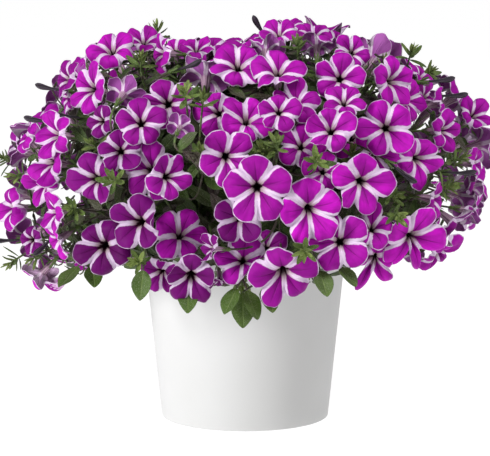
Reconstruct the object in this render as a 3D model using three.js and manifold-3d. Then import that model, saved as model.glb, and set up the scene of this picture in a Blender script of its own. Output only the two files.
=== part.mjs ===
// A striped petunia that spills over a plain white pot, in millimetres.
// +Z is up, the origin is the middle of the pot's underside, and -Y is the front.
// The pot and its soil are turned shapes. The plant is a set of flower stems that stand in the soil:
// each one is a single solid with its side stalks, blooms, buds, shoot tips and leaves.

import * as THREE from "three";
import { mergeVertices } from "three/addons/utils/BufferGeometryUtils.js";
import Module from "manifold-3d";

const wasm = await Module();
wasm.setup();

// ---------- Driving dimensions, in millimetres and degrees ----------

const POT = { height: 155, footRadius: 75, rimRadius: 91, wall: 3, floor: 4, edge: 1.2, sides: 44 };
const DRAIN = { count: 4, radius: 5, ring: 42, sides: 8 };
const SOIL = { rimZ: 139, crownZ: 145, gap: 0.3, sides: 22 };

// The mound that the blooms lie on: a cushion that is a little squarer than an ellipsoid, with a lower
// half that is flatter than the upper one.
const MOUND = { middleZ: 204, reach: 213, rise: 146, drop: 102, power: 2.5 };

// Where the photograph was taken from. Pixels of the 490 x 456 picture become lines of sight with these.
const VIEW = { distance: 2400, aimZ: 170, tilt: 8.2, focal: 2675, middleU: 245, middleV: 228, stride: 4 };

// Stems: their feet lie between two circles in the soil, and their tips inside the mound.
const STEM = { count: 36, footRadius: 2.1, tipRadius: 1.4, steps: 4, tipShare: 0.68, lowestCos: -0.42 };
const STEM_FEET = { inner: 9, outer: 66, depth: 12, hole: 3.6, holeSides: 4, holeGap: 0.5 };

// Side stalks: the joints are spread up the stem's outer part.
const STALK = { radius: 0.9, jointRadius: 0.45, sides: 3, steps: 1 };
const JOINT = { first: 0.62, last: 0.985, step: 0.055, round: 7, later: [0, 0.15, 0.27], stems: 7 };

const BLOOM = { radius: 25, lobes: 5, ringRadius: 5.5, ringDepth: 6, throatDepth: 14 };
const TUBE = { neckRadius: 4.5, neckDepth: 9.5, length: 32, endRadius: 1.5 };
// One lobe's rim: how far round the lobe, the share of the bloom's radius, and how far it bends back.
const LOBE = [
  { round: 0, reach: 0.8, back: 1.6 },
  { round: 0.3, reach: 0.98, back: 0 },
  { round: 0.7, reach: 0.98, back: 0 },
];
const SPACING = { margin: 1.2, step: 3, steps: 20, tubeRoom: 26, flesh: 3.5 };
const HIDDEN = { lowestCos: -0.46, mostFacing: 0.36, hangingY: 20 };
const HIDDEN_BLOOMS = { lattice: 144, offset: 0.7, least: 35, radius: 25.5, spread: 2.5 };
const HIDDEN_TILT = { sway: 0.7, up: 0.25 };

// A leaf's outline, as shares of its length and width.
const OVATE = [[0, 0], [0.34, 0.48], [0.72, 0.36], [1, 0], [0.72, -0.36], [0.34, -0.48]];
const LEAF = { length: 38, width: 20, fold: 2.2, bend: 0.25, thick: 1.2, rise: 0.5, tries: 8 };
const STEM_LEAF_SHARES = [0.9, 0.7, 0.5];
const RIM_LEAF = { ...LEAF, fold: 1.6, bend: 0.16, widthShare: 0.55 };

// A shoot's tuft, and one of its leaves: how far round its share of the tuft, how far out, and how far up.
const SHOOT = { leaves: 5, axis: 12, point: 5, neck: { z: -3.5, radius: 1.3 }, sizes: [1, 0.75] };
const TUFT_LEAF = [[0, 2.2, -0.5], [0.3, 9, 5], [0.5, 15, 7.5], [0.7, 9, 5]];
const HIDDEN_SHOOTS = { lattice: 56, offset: 2.1, least: 26, sunk: 0.6 };
const BUD = { length: 32, radius: 2.6, fullest: 0.72, tipRadius: 0.4 };

// How far a piece may move along its line of sight, or out of the mound, to be clear of its neighbours.
const SHIFTS = [0, 4, -4, 8, -8, 12, -12, 16, -16, 20, -20, 25, -25, -30, -35];
const CLEARANCE = 0.3;

const GOLDEN_ANGLE = Math.PI * (3 - Math.sqrt(5));
const UP = new THREE.Vector3(0, 0, 1);

const COLOURS = { pot: "#f2f2f0", soil: "#3a2a20", plant: "#9a1ea6" };

// ---------- What the photograph shows ----------

// Blooms, nearest first: the pixel of the throat, the width in millimetres, the way the bloom faces
// (turn: 0 is the front and 90 the right; lift: above the horizon), and the way one stripe points,
// clockwise from straight up.
const SEEN_BLOOMS = [
  [283, 272, 54, 2, -22, -38], [191, 275, 45, 0, -10, -29], [257, 187, 55, 0, 4, -37],
  [309, 209, 54, 8, -2, -47], [361, 181, 52, 8, 4, -26], [180, 235, 49, 8, 26, -19],
  [104, 246, 52, -11, 0, -10], [340, 242, 51, 0, 8, 18], [411, 237, 51, 14, -8, -31],
  [374, 258, 44, -8, -10, -24], [226, 157, 50, 6, 0, 7], [167, 177, 42, 20, 6, 0],
  [151, 171, 52, -12, 8, -30], [140, 222, 49, -17, 4, -28], [161, 272, 38, -22, -16, -30],
  [243, 261, 45, 0, 14, -36], [266, 248, 38, 0, 20, -30], [372, 229, 38, 6, 24, -20],
  [386, 128, 50, 2, 10, 16], [246, 121, 49, 3, 34, -6], [141, 123, 46, 0, 22, -41],
  [96, 179, 48, -24, 6, -47], [323, 172, 39, 0, 14, -30], [331, 131, 46, 0, 24, -35],
  [417, 159, 46, 24, -2, 0], [240, 218, 46, -4, 0, -36], [121, 151, 41, 0, 14, -40],
  [218, 113, 44, -10, 18, -40], [279, 112, 38, 4, 24, -30], [168, 104, 46, 0, 14, -48],
  [340, 79, 46, 0, 14, -24], [278, 73, 49, 0, 48, -38], [238, 62, 50, 0, 34, 5],
  [112, 48, 45, -10, 44, -5], [92, 89, 46, -42, 14, -20], [296, 104, 42, 0, 40, -36],
  [378, 152, 44, 6, 8, 0], [352, 138, 42, 6, 22, -30], [301, 147, 40, 0, 18, -20],
  [57, 135, 42, -58, 10, 10], [51, 162, 46, -52, 12, -20], [44, 184, 40, -46, -6, 30],
  [57, 212, 38, -26, 0, -20], [12, 207, 42, -50, 0, 0], [58, 240, 36, -30, -14, 10],
  [32, 240, 27, -34, 0, 20], [49, 274, 38, -52, -48, 0], [391, 78, 44, 36, 8, -30],
  [407, 100, 40, 58, 8, 0], [443, 131, 44, 42, 4, -20], [474, 115, 42, 50, 28, 10],
  [433, 199, 36, 70, -6, 0], [438, 252, 42, 50, -42, 0], [452, 222, 42, 84, -38, 0],
  [472, 211, 34, 80, -8, 0], [462, 196, 38, 96, -18, 0], [476, 186, 40, 104, -8, 0],
  [474, 164, 32, 70, 4, 0], [481, 144, 46, 118, 10, 0], [438, 104, 32, 98, 12, 0],
  [425, 97, 30, 52, 30, 0], [421, 69, 30, 60, 42, 0], [344, 103, 38, 4, 48, 0],
  [206, 77, 46, 178, 42, 0], [124, 94, 34, 160, 24, 0], [179, 126, 24, 40, 22, 0],
  [163, 55, 36, -24, 30, 0], [102, 121, 30, -42, 12, 0], [67, 80, 36, -76, 46, 0],
  [29, 127, 34, -78, 28, 0], [24, 154, 36, -98, 10, 0], [68, 98, 30, -68, -6, 0],
  [352, 53, 34, 12, 24, 0], [372, 44, 46, 150, 34, 0], [317, 45, 34, 178, 50, 0],
  [266, 48, 34, 172, 44, 0], [313, 31, 38, 0, 64, 0], [336, 36, 34, 40, 58, 0],
  [252, 42, 40, 0, 62, 0], [279, 33, 34, -10, 58, 0], [288, 22, 37, 0, 80, 0],
  [196, 42, 30, 0, 62, 0], [175, 45, 30, -20, 60, 0], [144, 36, 34, 10, 58, 0],
  [207, 248, 26, -6, 4, 0], [221, 281, 24, -4, -22, 0],
];

// The plant's top outline, from left to right: pixels across and down. Every bloom stays under it.
const SKYLINE = [
  [0, 118], [38, 118], [45, 90], [60, 76], [80, 56], [92, 28], [165, 27], [185, 38], [250, 38], [270, 20],
  [310, 16], [340, 30], [385, 39], [398, 55], [425, 66], [445, 72], [470, 90], [490, 108],
];
const SKY = { step: 1.5, steps: 40, slack: 1 };

// Leafy shoot tips: the pixel of the tip and the way the shoot points.
const SEEN_SHOOTS = [
  [157, 30, 0, 75], [141, 60, 0, 60], [185, 93, -6, 50], [203, 100, 10, 60], [94, 145, -40, 40],
  [3, 158, -80, 30], [16, 176, -70, 0], [113, 180, -10, 20], [200, 152, 0, 40], [72, 209, -30, 10],
  [34, 258, -60, -20], [138, 262, -16, 14], [242, 284, 0, -24], [277, 143, 0, 50], [316, 160, 0, 30],
  [353, 153, 10, 50], [411, 52, 24, 62], [430, 72, 50, 30], [298, 44, 0, 70], [449, 186, 60, 20],
  [460, 158, 70, 20], [12, 262, -70, -30], [305, 252, 0, -10], [395, 196, 30, 10],
  [398, 216, 30, 0], [148, 205, -10, 10], [262, 150, 0, 30],
];

// Closed dark buds: the pixel of the bud's middle and the way it points.
const SEEN_BUDS = [
  [262, 30, -60, 55], [437, 80, 80, 8], [450, 95, 84, 4], [53, 88, -84, 12], [42, 120, -80, 10],
  [46, 243, -50, -34], [8, 240, -80, 0], [186, 66, 60, 20], [402, 172, 60, -30], [458, 172, 84, 2],
  [70, 116, -70, 8],
];

// Broad leaves that hang at the rim: the pixel of the base, the way the leaf points, and its length.
const SEEN_RIM_LEAVES = [
  [236, 288, -34, -40, 26], [243, 292, 0, -70, 30], [247, 290, 40, -50, 27], [143, 270, -14, -60, 26],
  [78, 266, -40, -24, 28], [92, 266, 10, -30, 24], [320, 270, 20, -40, 26], [341, 266, 40, -30, 24],
  [188, 284, 0, -50, 26], [266, 286, 20, -40, 26],
];

// ---------- Small helpers ----------

const radians = (degrees) => (degrees * Math.PI) / 180;

// Repeatable random numbers from 0 to 1.
function draws(seed) {
  let state = seed;
  return () => {
    state = (state * 16807) % 2147483647;
    return state / 2147483647;
  };
}

// The direction at a turn from the front (towards the right) and a lift above the horizon.
function heading(turn, lift) {
  const t = radians(turn);
  const l = radians(lift);
  return new THREE.Vector3(Math.sin(t) * Math.cos(l), -Math.cos(t) * Math.cos(l), Math.sin(l));
}

// The axes of a piece that faces that way: x to its right as seen from in front, y up, z outwards.
function facingAxes(turn, lift) {
  const t = radians(turn);
  const x = new THREE.Vector3(Math.cos(t), Math.sin(t), 0);
  const z = heading(turn, lift);
  return { x, y: z.clone().cross(x), z };
}

// The turn and lift of a direction.
function turnAndLift(direction) {
  return {
    turn: (Math.atan2(direction.x, -direction.y) * 180) / Math.PI,
    lift: (Math.asin(Math.max(-1, Math.min(1, direction.z))) * 180) / Math.PI,
  };
}

// A point from a start and shares of three axes.
function pointFrom(start, axes, x, y, z) {
  return start.clone().addScaledVector(axes.x, x).addScaledVector(axes.y, y).addScaledVector(axes.z, z);
}

// Axes with x along a direction and z as near as possible to another one.
function axesAlong(along, face) {
  const x = along.clone().normalize();
  const y = face.clone().cross(x).normalize();
  return { x, y, z: x.clone().cross(y) };
}

// ---------- The mound and the line of sight ----------

// 1 on the mound's surface, less inside and more outside.
function moundLevel({ x, y, z }) {
  const up = z - MOUND.middleZ;
  const height = up > 0 ? MOUND.rise : MOUND.drop;
  return (Math.hypot(x, y) / MOUND.reach) ** MOUND.power + (Math.abs(up) / height) ** MOUND.power;
}

// The point of the mound's surface in a direction from its middle.
function moundPoint(direction, share = 1) {
  const middle = new THREE.Vector3(0, 0, MOUND.middleZ);
  const level = moundLevel(middle.clone().add(direction));
  return middle.addScaledVector(direction, share * level ** (-1 / MOUND.power));
}

// The mound's outward normal at a point.
function moundNormal({ x, y, z }) {
  const up = z - MOUND.middleZ;
  const height = up > 0 ? MOUND.rise : MOUND.drop;
  const flat = Math.hypot(x, y) ** (MOUND.power - 2) / MOUND.reach ** MOUND.power;
  const steep = Math.abs(up) ** (MOUND.power - 2) / height ** MOUND.power;
  return new THREE.Vector3(x * flat, y * flat, up * steep).normalize();
}

// Directions spread evenly over the mound, from its top down to a lowest cosine.
function lattice(count, lowestCos, offset = 0) {
  const found = [];
  for (let i = 0; i < count; i++) {
    const z = 1 - ((i + 0.5) / count) * (1 - lowestCos);
    const flat = Math.sqrt(1 - z * z);
    const angle = i * GOLDEN_ANGLE + offset;
    found.push(new THREE.Vector3(flat * Math.cos(angle), flat * Math.sin(angle), z));
  }
  return found;
}

// The camera's place, and the directions that it sees as forward and up.
function cameraAxes() {
  const tilt = radians(VIEW.tilt);
  const forward = new THREE.Vector3(0, Math.cos(tilt), -Math.sin(tilt));
  const up = new THREE.Vector3(0, Math.sin(tilt), Math.cos(tilt));
  const eye = new THREE.Vector3(0, 0, VIEW.aimZ).addScaledVector(forward, -VIEW.distance);
  return { forward, up, eye };
}

// Where a pixel's line of sight starts, and its direction.
function sightLine(u, v) {
  const { forward, up, eye } = cameraAxes();
  const direction = forward
    .clone()
    .addScaledVector(new THREE.Vector3(1, 0, 0), (u - VIEW.middleU) / VIEW.focal)
    .addScaledVector(up, (VIEW.middleV - v) / VIEW.focal)
    .normalize();
  return { eye, direction };
}

// The mound's point on a pixel's line of sight, or the line's nearest point where it misses.
function seenPoint(u, v) {
  const { eye, direction } = sightLine(u, v);
  const at = (distance) => eye.clone().addScaledVector(direction, distance);
  const level = (distance) => moundLevel(at(distance));
  let near = VIEW.distance - 1.5 * MOUND.reach;
  let far = near;
  while (level(far) > 1 && level(far + VIEW.stride) < level(far)) far += VIEW.stride;
  if (level(far) > 1) return { point: at(far), direction };
  near = far - VIEW.stride;
  for (let i = 0; i < 30; i++) {
    const middle = (near + far) / 2;
    if (level(middle) > 1) near = middle;
    else far = middle;
  }
  return { point: at(far), direction };
}

// Whether a point is seen below the plant's top outline.
function isUnderSkyline(point) {
  const { forward, up, eye } = cameraAxes();
  const away = point.clone().sub(eye);
  const scale = VIEW.focal / away.dot(forward);
  const u = VIEW.middleU + away.x * scale;
  const v = VIEW.middleV - away.dot(up) * scale;
  const next = Math.min(SKYLINE.length - 1, Math.max(1, SKYLINE.findIndex(([across]) => across > u)));
  const [[u0, v0], [u1, v1]] = [SKYLINE[next - 1], SKYLINE[next]];
  const share = Math.min(1, Math.max(0, (u - u0) / (u1 - u0)));
  return v > v0 + (v1 - v0) * share - SKY.slack;
}

// ---------- Where each bloom sits ----------

// The points of a bloom that are tested against its neighbours: rim, middle of the limb, and tube.
const BLOOM_PROBES = [];
for (let i = 0; i < 15; i++) {
  const angle = (i * 2 * Math.PI) / 15;
  BLOOM_PROBES.push([Math.sin(angle), Math.cos(angle), 0]);
}
const BLOOM_RIM = [...BLOOM_PROBES];
for (let i = 0; i < 10; i++) {
  const angle = (i * 2 * Math.PI) / 10;
  BLOOM_PROBES.push([0.6 * Math.sin(angle), 0.6 * Math.cos(angle), -0.12]);
}
for (const depth of [0.8, 1.1, 1.4, 1.7]) BLOOM_PROBES.push([0, 0, -depth]);

// Whether a bloom's points cross another bloom: one is in its flesh, or some lie before it and some behind.
function pierces(bloom, other) {
  const size = other.radius / BLOOM.radius;
  const ring = BLOOM.ringRadius * size;
  let before = 0;
  let behind = 0;
  for (const [px, py, pz] of BLOOM_PROBES) {
    const r = bloom.radius;
    const point = pointFrom(bloom.centre, bloom.axes, px * r, py * r, pz * r).sub(other.centre);
    const x = point.dot(other.axes.x);
    const y = point.dot(other.axes.y);
    const z = point.dot(other.axes.z);
    const out = Math.sqrt(x * x + y * y);
    if (out > other.radius + SPACING.margin) continue;
    const along = Math.min(1, Math.max(0, (out - ring) / (other.radius - ring)));
    const face = -BLOOM.ringDepth * size * (1 - along);
    const tube = out < TUBE.neckRadius * size + SPACING.margin ? 2 * other.radius : 0;
    const rear = face - SPACING.flesh * size * (1 - along) - tube - SPACING.margin;
    if (z > face + SPACING.margin) before += 1;
    else if (z < rear) behind += 1;
    else return true;
  }
  return before > 0 && behind > 0;
}

function countCrossings(bloom, placed) {
  let found = 0;
  for (const other of placed) {
    const room = bloom.radius + other.radius + SPACING.tubeRoom;
    if (bloom.centre.distanceToSquared(other.centre) > room * room) continue;
    if (pierces(bloom, other) || pierces(other, bloom)) found += 1;
  }
  return found;
}

// Moves a bloom inwards along a line until it is clear of the ones already placed.
function settle(bloom, inward, placed) {
  const start = bloom.centre.clone();
  let fewest = Infinity;
  let best = start;
  for (let i = 0; i < SPACING.steps && fewest > 0; i++) {
    bloom.centre = start.clone().addScaledVector(inward, i * SPACING.step);
    const crossings = countCrossings(bloom, placed);
    if (crossings >= fewest) continue;
    fewest = crossings;
    best = bloom.centre;
  }
  bloom.centre = best;
  return fewest;
}

// A bloom with its throat at a place, or so far below it that its rim is under the plant's top outline.
function bloomAt(throat, radius, turn, lift, stripe) {
  const axes = facingAxes(turn, lift);
  const centre = throat.clone().addScaledVector(axes.z, (BLOOM.ringDepth * radius) / BLOOM.radius);
  const isSeenUnder = ([x, y]) => isUnderSkyline(pointFrom(centre, axes, x * radius, y * radius, 0));
  for (let i = 0; i < SKY.steps && !BLOOM_RIM.every(isSeenUnder); i++) centre.z -= SKY.step;
  return { centre, axes, radius, stripe: radians(stripe) };
}

function seenBlooms() {
  const placed = [];
  for (const [u, v, width, turn, lift, stripe] of SEEN_BLOOMS) {
    const { point, direction } = seenPoint(u, v);
    const bloom = bloomAt(point, width / 2, turn, lift, stripe);
    settle(bloom, direction, placed);
    placed.push(bloom);
  }
  return placed;
}

// Whether the photograph shows a place on the mound: it faces the camera, or hangs below the front.
function isInView(surface, normal) {
  const hangs = surface.z < MOUND.middleZ && surface.y < HIDDEN.hangingY;
  return hangs || normal.dot(heading(0, VIEW.tilt)) > HIDDEN.mostFacing;
}

// Blooms that the photograph doesn't show: an even spread over the mound's top and far side.
function addHiddenBlooms(placed) {
  const random = draws(4021);
  const { lattice: count, offset, least, radius, spread } = HIDDEN_BLOOMS;
  for (const direction of lattice(count, HIDDEN.lowestCos, offset)) {
    const sway = new THREE.Vector3(random() - 0.5, random() - 0.5, random() - 0.5);
    const size = radius + spread * (2 * random() - 1);
    const stripe = 72 * random();
    const surface = moundPoint(direction);
    const normal = moundNormal(surface);
    if (isInView(surface, normal)) continue;
    if (placed.some((other) => other.centre.distanceTo(surface) < least)) continue;
    const facing = normal.clone().addScaledVector(sway, HIDDEN_TILT.sway).addScaledVector(UP, HIDDEN_TILT.up);
    const { turn, lift } = turnAndLift(facing.normalize());
    const bloom = bloomAt(surface, size, turn, lift, stripe);
    if (settle(bloom, normal.clone().negate(), placed) === 0) placed.push(bloom);
  }
}

// Leafy shoot tips: the ones that the photograph shows, and an even spread in the gaps behind.
function shootPlaces(blooms) {
  const found = SEEN_SHOOTS.map(([u, v, turn, lift]) => {
    const along = heading(turn, lift);
    const { point, direction } = seenPoint(u, v);
    return { base: point.addScaledVector(along, -SHOOT.axis), along, way: direction.negate() };
  });
  for (const direction of lattice(HIDDEN_SHOOTS.lattice, HIDDEN.lowestCos, HIDDEN_SHOOTS.offset)) {
    const surface = moundPoint(direction);
    const along = moundNormal(surface);
    if (isInView(surface, along) || !isUnderSkyline(surface)) continue;
    if (blooms.some((bloom) => bloom.centre.distanceTo(surface) < HIDDEN_SHOOTS.least)) continue;
    found.push({ base: surface.addScaledVector(along, -HIDDEN_SHOOTS.sunk * SHOOT.axis), along, way: along });
  }
  return found;
}

// ---------- Stems ----------

// The stems' paths: each stands upright in the soil and arches out to its own share of the mound.
function stemPaths() {
  return lattice(STEM.count, STEM.lowestCos).map((direction, i) => {
    const fromTop = (i + 0.5) / STEM.count;
    const out = STEM_FEET.inner + (STEM_FEET.outer - STEM_FEET.inner) * Math.sqrt(fromTop);
    const side = direction.clone().setZ(0).normalize();
    const foot = side.clone().multiplyScalar(out).setZ(SOIL.rimZ - STEM_FEET.depth);
    const collar = foot.clone().setZ(SOIL.crownZ + 4);
    const tip = moundPoint(direction, STEM.tipShare);
    const rise = collar.clone().addScaledVector(UP, 50 - 20 * fromTop);
    const arrive = tip.clone().addScaledVector(moundNormal(tip), -34).addScaledVector(UP, 18 * fromTop);
    const curve = new THREE.CubicBezierCurve3(collar, rise, arrive, tip);
    return { foot, tip, path: curve.getSpacedPoints(STEM.steps), stalks: 0 };
  });
}

// The point at a share of a stem's path, and the way the stem runs there.
function onStem({ path }, share) {
  const at = share * STEM.steps;
  const k = Math.min(STEM.steps - 1, Math.floor(at));
  const along = path[k + 1].clone().sub(path[k]).normalize();
  return { point: path[k].clone().lerp(path[k + 1], at - k), along };
}

// Stations down a side stalk, from its end to its joint on the stem.
function stalkStations(joint, end, along, endRadius) {
  const reach = joint.distanceTo(end);
  const curve = new THREE.QuadraticBezierCurve3(joint, end.clone().addScaledVector(along, -0.5 * reach), end);
  const stations = curve.getSpacedPoints(STALK.steps).map((middle) => ({ middle, radius: STALK.radius }));
  stations[0].radius = STALK.jointRadius;
  stations[STALK.steps].radius = endRadius;
  return stations.reverse();
}

// ---------- Solids ----------

function manifoldFrom(vertProperties, triVerts) {
  return new wasm.Manifold(new wasm.Mesh({ numProp: 3, vertProperties, triVerts }));
}

// A closed solid from points and triangles, turned so that its faces point out.
function solid(points, triangles) {
  const places = new Float32Array(points.flatMap((p) => [p.x, p.y, p.z]));
  const made = manifoldFrom(places, new Uint32Array(triangles.flat()));
  return made.volume() > 0 ? made : manifoldFrom(places, new Uint32Array(flipped(triangles).flat()));
}

const flipped = (triangles) => triangles.map(([a, b, c]) => [a, c, b]);

const evenTurns = (count, offset = 0) => Array.from({ length: count }, (_, k) => (k + offset) / count);

// Triangles between two rings of points that go the same way round. A ring is the number of its first
// point and how far round each point is, from 0 to 1. Each inner point takes the outer ones nearest to it.
function bridge(outer, inner) {
  const number = (ring, k) => ring.first + (k % ring.turns.length);
  const turned = (ring, k) => ring.turns[k % ring.turns.length] + Math.floor(k / ring.turns.length);
  const triangles = [];
  let i = 0;
  let j = 0;
  while (i < outer.turns.length || j < inner.turns.length) {
    const halfway = (turned(inner, j) + turned(inner, j + 1)) / 2;
    const outerNext = i < outer.turns.length && turned(outer, i + 1) <= halfway + 1e-9;
    if (outerNext || j === inner.turns.length) {
      triangles.push([number(outer, i), number(outer, i + 1), number(inner, j)]);
      i += 1;
    } else {
      triangles.push([number(outer, i), number(inner, j + 1), number(inner, j)]);
      j += 1;
    }
  }
  return triangles;
}

// Closes a ring with triangles to its first point or, where one is given, to a point in its middle.
function closed(ring, middle) {
  const n = ring.turns.length;
  const triangles = [];
  const hub = middle ?? ring.first;
  for (let k = 0; k < n; k++) {
    const [a, b] = [ring.first + k, ring.first + ((k + 1) % n)];
    if (a !== hub && b !== hub) triangles.push([hub, a, b]);
  }
  return triangles;
}

// Adds a three-sided tube through a list of stations, each a middle point and a radius, to a solid in
// the making. The first ring's corner 0 points in a given direction. Returns the first and last rings.
function addTube(points, triangles, stations, corner) {
  const across = corner.clone();
  const rings = stations.map(({ middle, radius }, i) => {
    const before = stations[Math.max(0, i - 1)].middle;
    const after = stations[Math.min(stations.length - 1, i + 1)].middle;
    const along = after.clone().sub(before).normalize();
    across.addScaledVector(along, -across.dot(along)).normalize();
    const side = along.clone().cross(across);
    const ring = { first: points.length, turns: evenTurns(STALK.sides) };
    for (const turn of ring.turns) {
      const angle = 2 * Math.PI * turn;
      const point = middle.clone().addScaledVector(across, radius * Math.cos(angle));
      points.push(point.addScaledVector(side, radius * Math.sin(angle)));
    }
    return ring;
  });
  for (let i = 1; i < rings.length; i++) triangles.push(...bridge(rings[i - 1], rings[i]));
  return [rings[0], rings[rings.length - 1]];
}

// A closed three-sided tube through its stations.
function tubeSolid(stations) {
  const points = [];
  const triangles = [];
  const along = stations[1].middle.clone().sub(stations[0].middle).normalize();
  const [first, last] = addTube(points, triangles, stations, levelAcross(along));
  triangles.push(...flipped(closed(first)), ...closed(last));
  return solid(points, triangles);
}

// A direction square to another one, as level as possible.
function levelAcross(along) {
  return along.clone().cross(Math.abs(along.z) > 0.95 ? new THREE.Vector3(0, 1, 0) : UP).normalize();
}

function stemSolid({ foot, path }) {
  const taper = (k) => STEM.footRadius + ((STEM.tipRadius - STEM.footRadius) * k) / STEM.steps;
  const stations = path.map((middle, k) => ({ middle, radius: taper(k) }));
  return tubeSolid([{ middle: foot, radius: STEM.footRadius }, ...stations]);
}

// A crown on its stalk: a rim of points round a middle, closed in front by a ring or by one point and
// drawn back behind into a tube that runs down to a joint. Points are [how far round, how far out, z].
function crownSolid({ centre, axes, stripe }, rimPoints, ringPoints, apex, neck, stalk) {
  const place = ([turn, reach, z]) => {
    const angle = 2 * Math.PI * turn + stripe;
    return pointFrom(centre, axes, reach * Math.sin(angle), reach * Math.cos(angle), z);
  };
  const points = [...rimPoints, ...ringPoints, [0, 0, apex]].map(place);
  const rim = { first: 0, turns: rimPoints.map(([turn]) => turn) };
  const ring = { first: rimPoints.length, turns: ringPoints.map(([turn]) => turn) };
  const front = ringPoints.length ? bridge(rim, ring) : [];
  front.push(...closed(ringPoints.length ? ring : rim, points.length - 1));
  const triangles = flipped(front);
  const stations = [{ middle: place([0, 0, neck.z]), radius: neck.radius }, ...stalk];
  const [first, last] = addTube(points, triangles, stations, place([0, 1, 0]).sub(centre));
  triangles.push(...bridge(rim, first), ...closed(last));
  return solid(points, triangles);
}

// One bloom on its stalk: a five-lobed limb, its throat, the tube behind it, and the stalk to the stem.
function bloomSolid(bloom, joint) {
  const size = bloom.radius / BLOOM.radius;
  const rim = [];
  for (let k = 0; k < BLOOM.lobes; k++)
    for (const { round, reach, back } of LOBE)
      rim.push([(k + round) / BLOOM.lobes, reach * bloom.radius, -back * size]);
  const [inner, depth] = [BLOOM.ringRadius * size, -BLOOM.ringDepth * size];
  const ring = evenTurns(BLOOM.lobes, 0.5).map((turn) => [turn, inner, depth]);
  const neck = { z: -TUBE.neckDepth * size, radius: TUBE.neckRadius * size };
  const stalk = stalkStations(joint, tubeEnd(bloom), bloom.axes.z, TUBE.endRadius);
  return crownSolid(bloom, rim, ring, -BLOOM.throatDepth * size, neck, stalk);
}

function tubeEnd({ centre, axes, radius }) {
  return centre.clone().addScaledVector(axes.z, (-TUBE.length * radius) / BLOOM.radius);
}

// A shoot's tip on its side stalk: a tuft of narrow leaves round a small point.
function shootSolid(base, along, size, joint) {
  const { turn, lift } = turnAndLift(along);
  const rim = [];
  for (let k = 0; k < SHOOT.leaves; k++)
    for (const [round, reach, z] of TUFT_LEAF)
      rim.push([(k + round) / SHOOT.leaves, reach * size, z * size]);
  const centre = base.clone().addScaledVector(along, SHOOT.axis);
  const place = { centre, axes: facingAxes(turn, lift), stripe: 0 };
  return crownSolid(place, rim, [], SHOOT.point, SHOOT.neck, stalkStations(joint, base, along, STALK.radius));
}

// A leaf from its base along a direction, bent down and folded a little along its midrib.
function leafSolid(base, along, face, { length, width, fold, bend, thick }) {
  const axes = axesAlong(along, face);
  const place = ([x, y]) => pointFrom(base, axes, x * length, y * width, -bend * length * x * x);
  const middle = (z) => pointFrom(base, axes, 0.45 * length, 0, z - fold - 0.2 * bend * length);
  const points = [...OVATE.map(place), middle(0.3 * thick), middle(-0.7 * thick)];
  const ring = { first: 0, turns: evenTurns(OVATE.length) };
  const [top, bottom] = [points.length - 2, points.length - 1];
  return solid(points, [...closed(ring, top), ...flipped(closed(ring, bottom))]);
}

// A broad leaf on a side stalk.
function rimLeafSolid(base, along, length, joint) {
  const root = base.clone().addScaledVector(along, 3);
  const size = { ...RIM_LEAF, length, width: RIM_LEAF.widthShare * length };
  const stalk = tubeSolid(stalkStations(joint, root, along, STALK.radius));
  return wasm.Manifold.union([stalk, leafSolid(base, along, UP, size)]);
}

// A closed bud on its stalk: a spindle that is fuller near its tip.
function budSolid(base, along, joint) {
  const full = { middle: base.clone().addScaledVector(along, BUD.fullest * BUD.length), radius: BUD.radius };
  const tip = { middle: base.clone().addScaledVector(along, BUD.length), radius: BUD.tipRadius };
  return tubeSolid([tip, full, ...stalkStations(joint, base, along, STALK.radius)]);
}

// ---------- Pot and soil ----------

// A solid from a closed three.js geometry.
function solidFrom(geometry) {
  geometry.deleteAttribute("normal");
  geometry.deleteAttribute("uv");
  const { attributes, index } = mergeVertices(geometry, 1e-4);
  return manifoldFrom(new Float32Array(attributes.position.array), new Uint32Array(index.array));
}

// A turned solid from a profile of [radius, height] points, from the axis back to the axis.
function turnedSolid(profile, sides) {
  const lathe = new THREE.LatheGeometry(profile.map(([r, z]) => new THREE.Vector2(r, z)), sides);
  return solidFrom(lathe.rotateX(Math.PI / 2));
}

// An upright peg, for cutting a hole.
function peg(radius, bottom, top, x, y, sides) {
  const cylinder = new THREE.CylinderGeometry(radius, radius, top - bottom, sides).rotateX(Math.PI / 2);
  return solidFrom(cylinder.translate(x, y, (top + bottom) / 2));
}

// The pot's outer radius at a height.
const potRadius = (z) => POT.footRadius + ((POT.rimRadius - POT.footRadius) * z) / POT.height;

function potSolid() {
  const { height, footRadius, rimRadius, wall, floor, edge, sides } = POT;
  const shoulder = height - edge;
  const outside = [[0, 0], [footRadius - edge, 0], [potRadius(edge), edge], [potRadius(shoulder), shoulder]];
  const rim = [[rimRadius - edge, height], [rimRadius - wall, height]];
  const inside = [[potRadius(floor) - wall, floor], [0, floor]];
  const holes = evenTurns(DRAIN.count, 0.5).map((turn) => {
    const x = DRAIN.ring * Math.cos(2 * Math.PI * turn);
    const y = DRAIN.ring * Math.sin(2 * Math.PI * turn);
    return peg(DRAIN.radius, -1, floor + 1, x, y, DRAIN.sides);
  });
  return turnedSolid([...outside, ...rim, ...inside], sides).subtract(wasm.Manifold.union(holes));
}

function soilSolid(stems) {
  const bottom = POT.floor + SOIL.gap;
  const radiusAt = (z) => potRadius(z) * Math.cos(Math.PI / POT.sides) - POT.wall - SOIL.gap;
  const { rimZ, crownZ, sides } = SOIL;
  const profile = [[0, bottom], [radiusAt(bottom), bottom], [radiusAt(rimZ), rimZ], [0, crownZ]];
  const { hole, holeSides, holeGap } = STEM_FEET;
  const holes = stems.map(({ foot }) => peg(hole, foot.z - holeGap, crownZ + 1, foot.x, foot.y, holeSides));
  return turnedSolid(profile, sides).subtract(wasm.Manifold.union(holes));
}

// ---------- The plant ----------

// The solids so far, each with the stem that it belongs to and the room that it takes up.
const taken = [];

function take(made, stem, isStem = false) {
  taken.push({ made, stem, isStem, box: made.boundingBox() });
}

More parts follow.
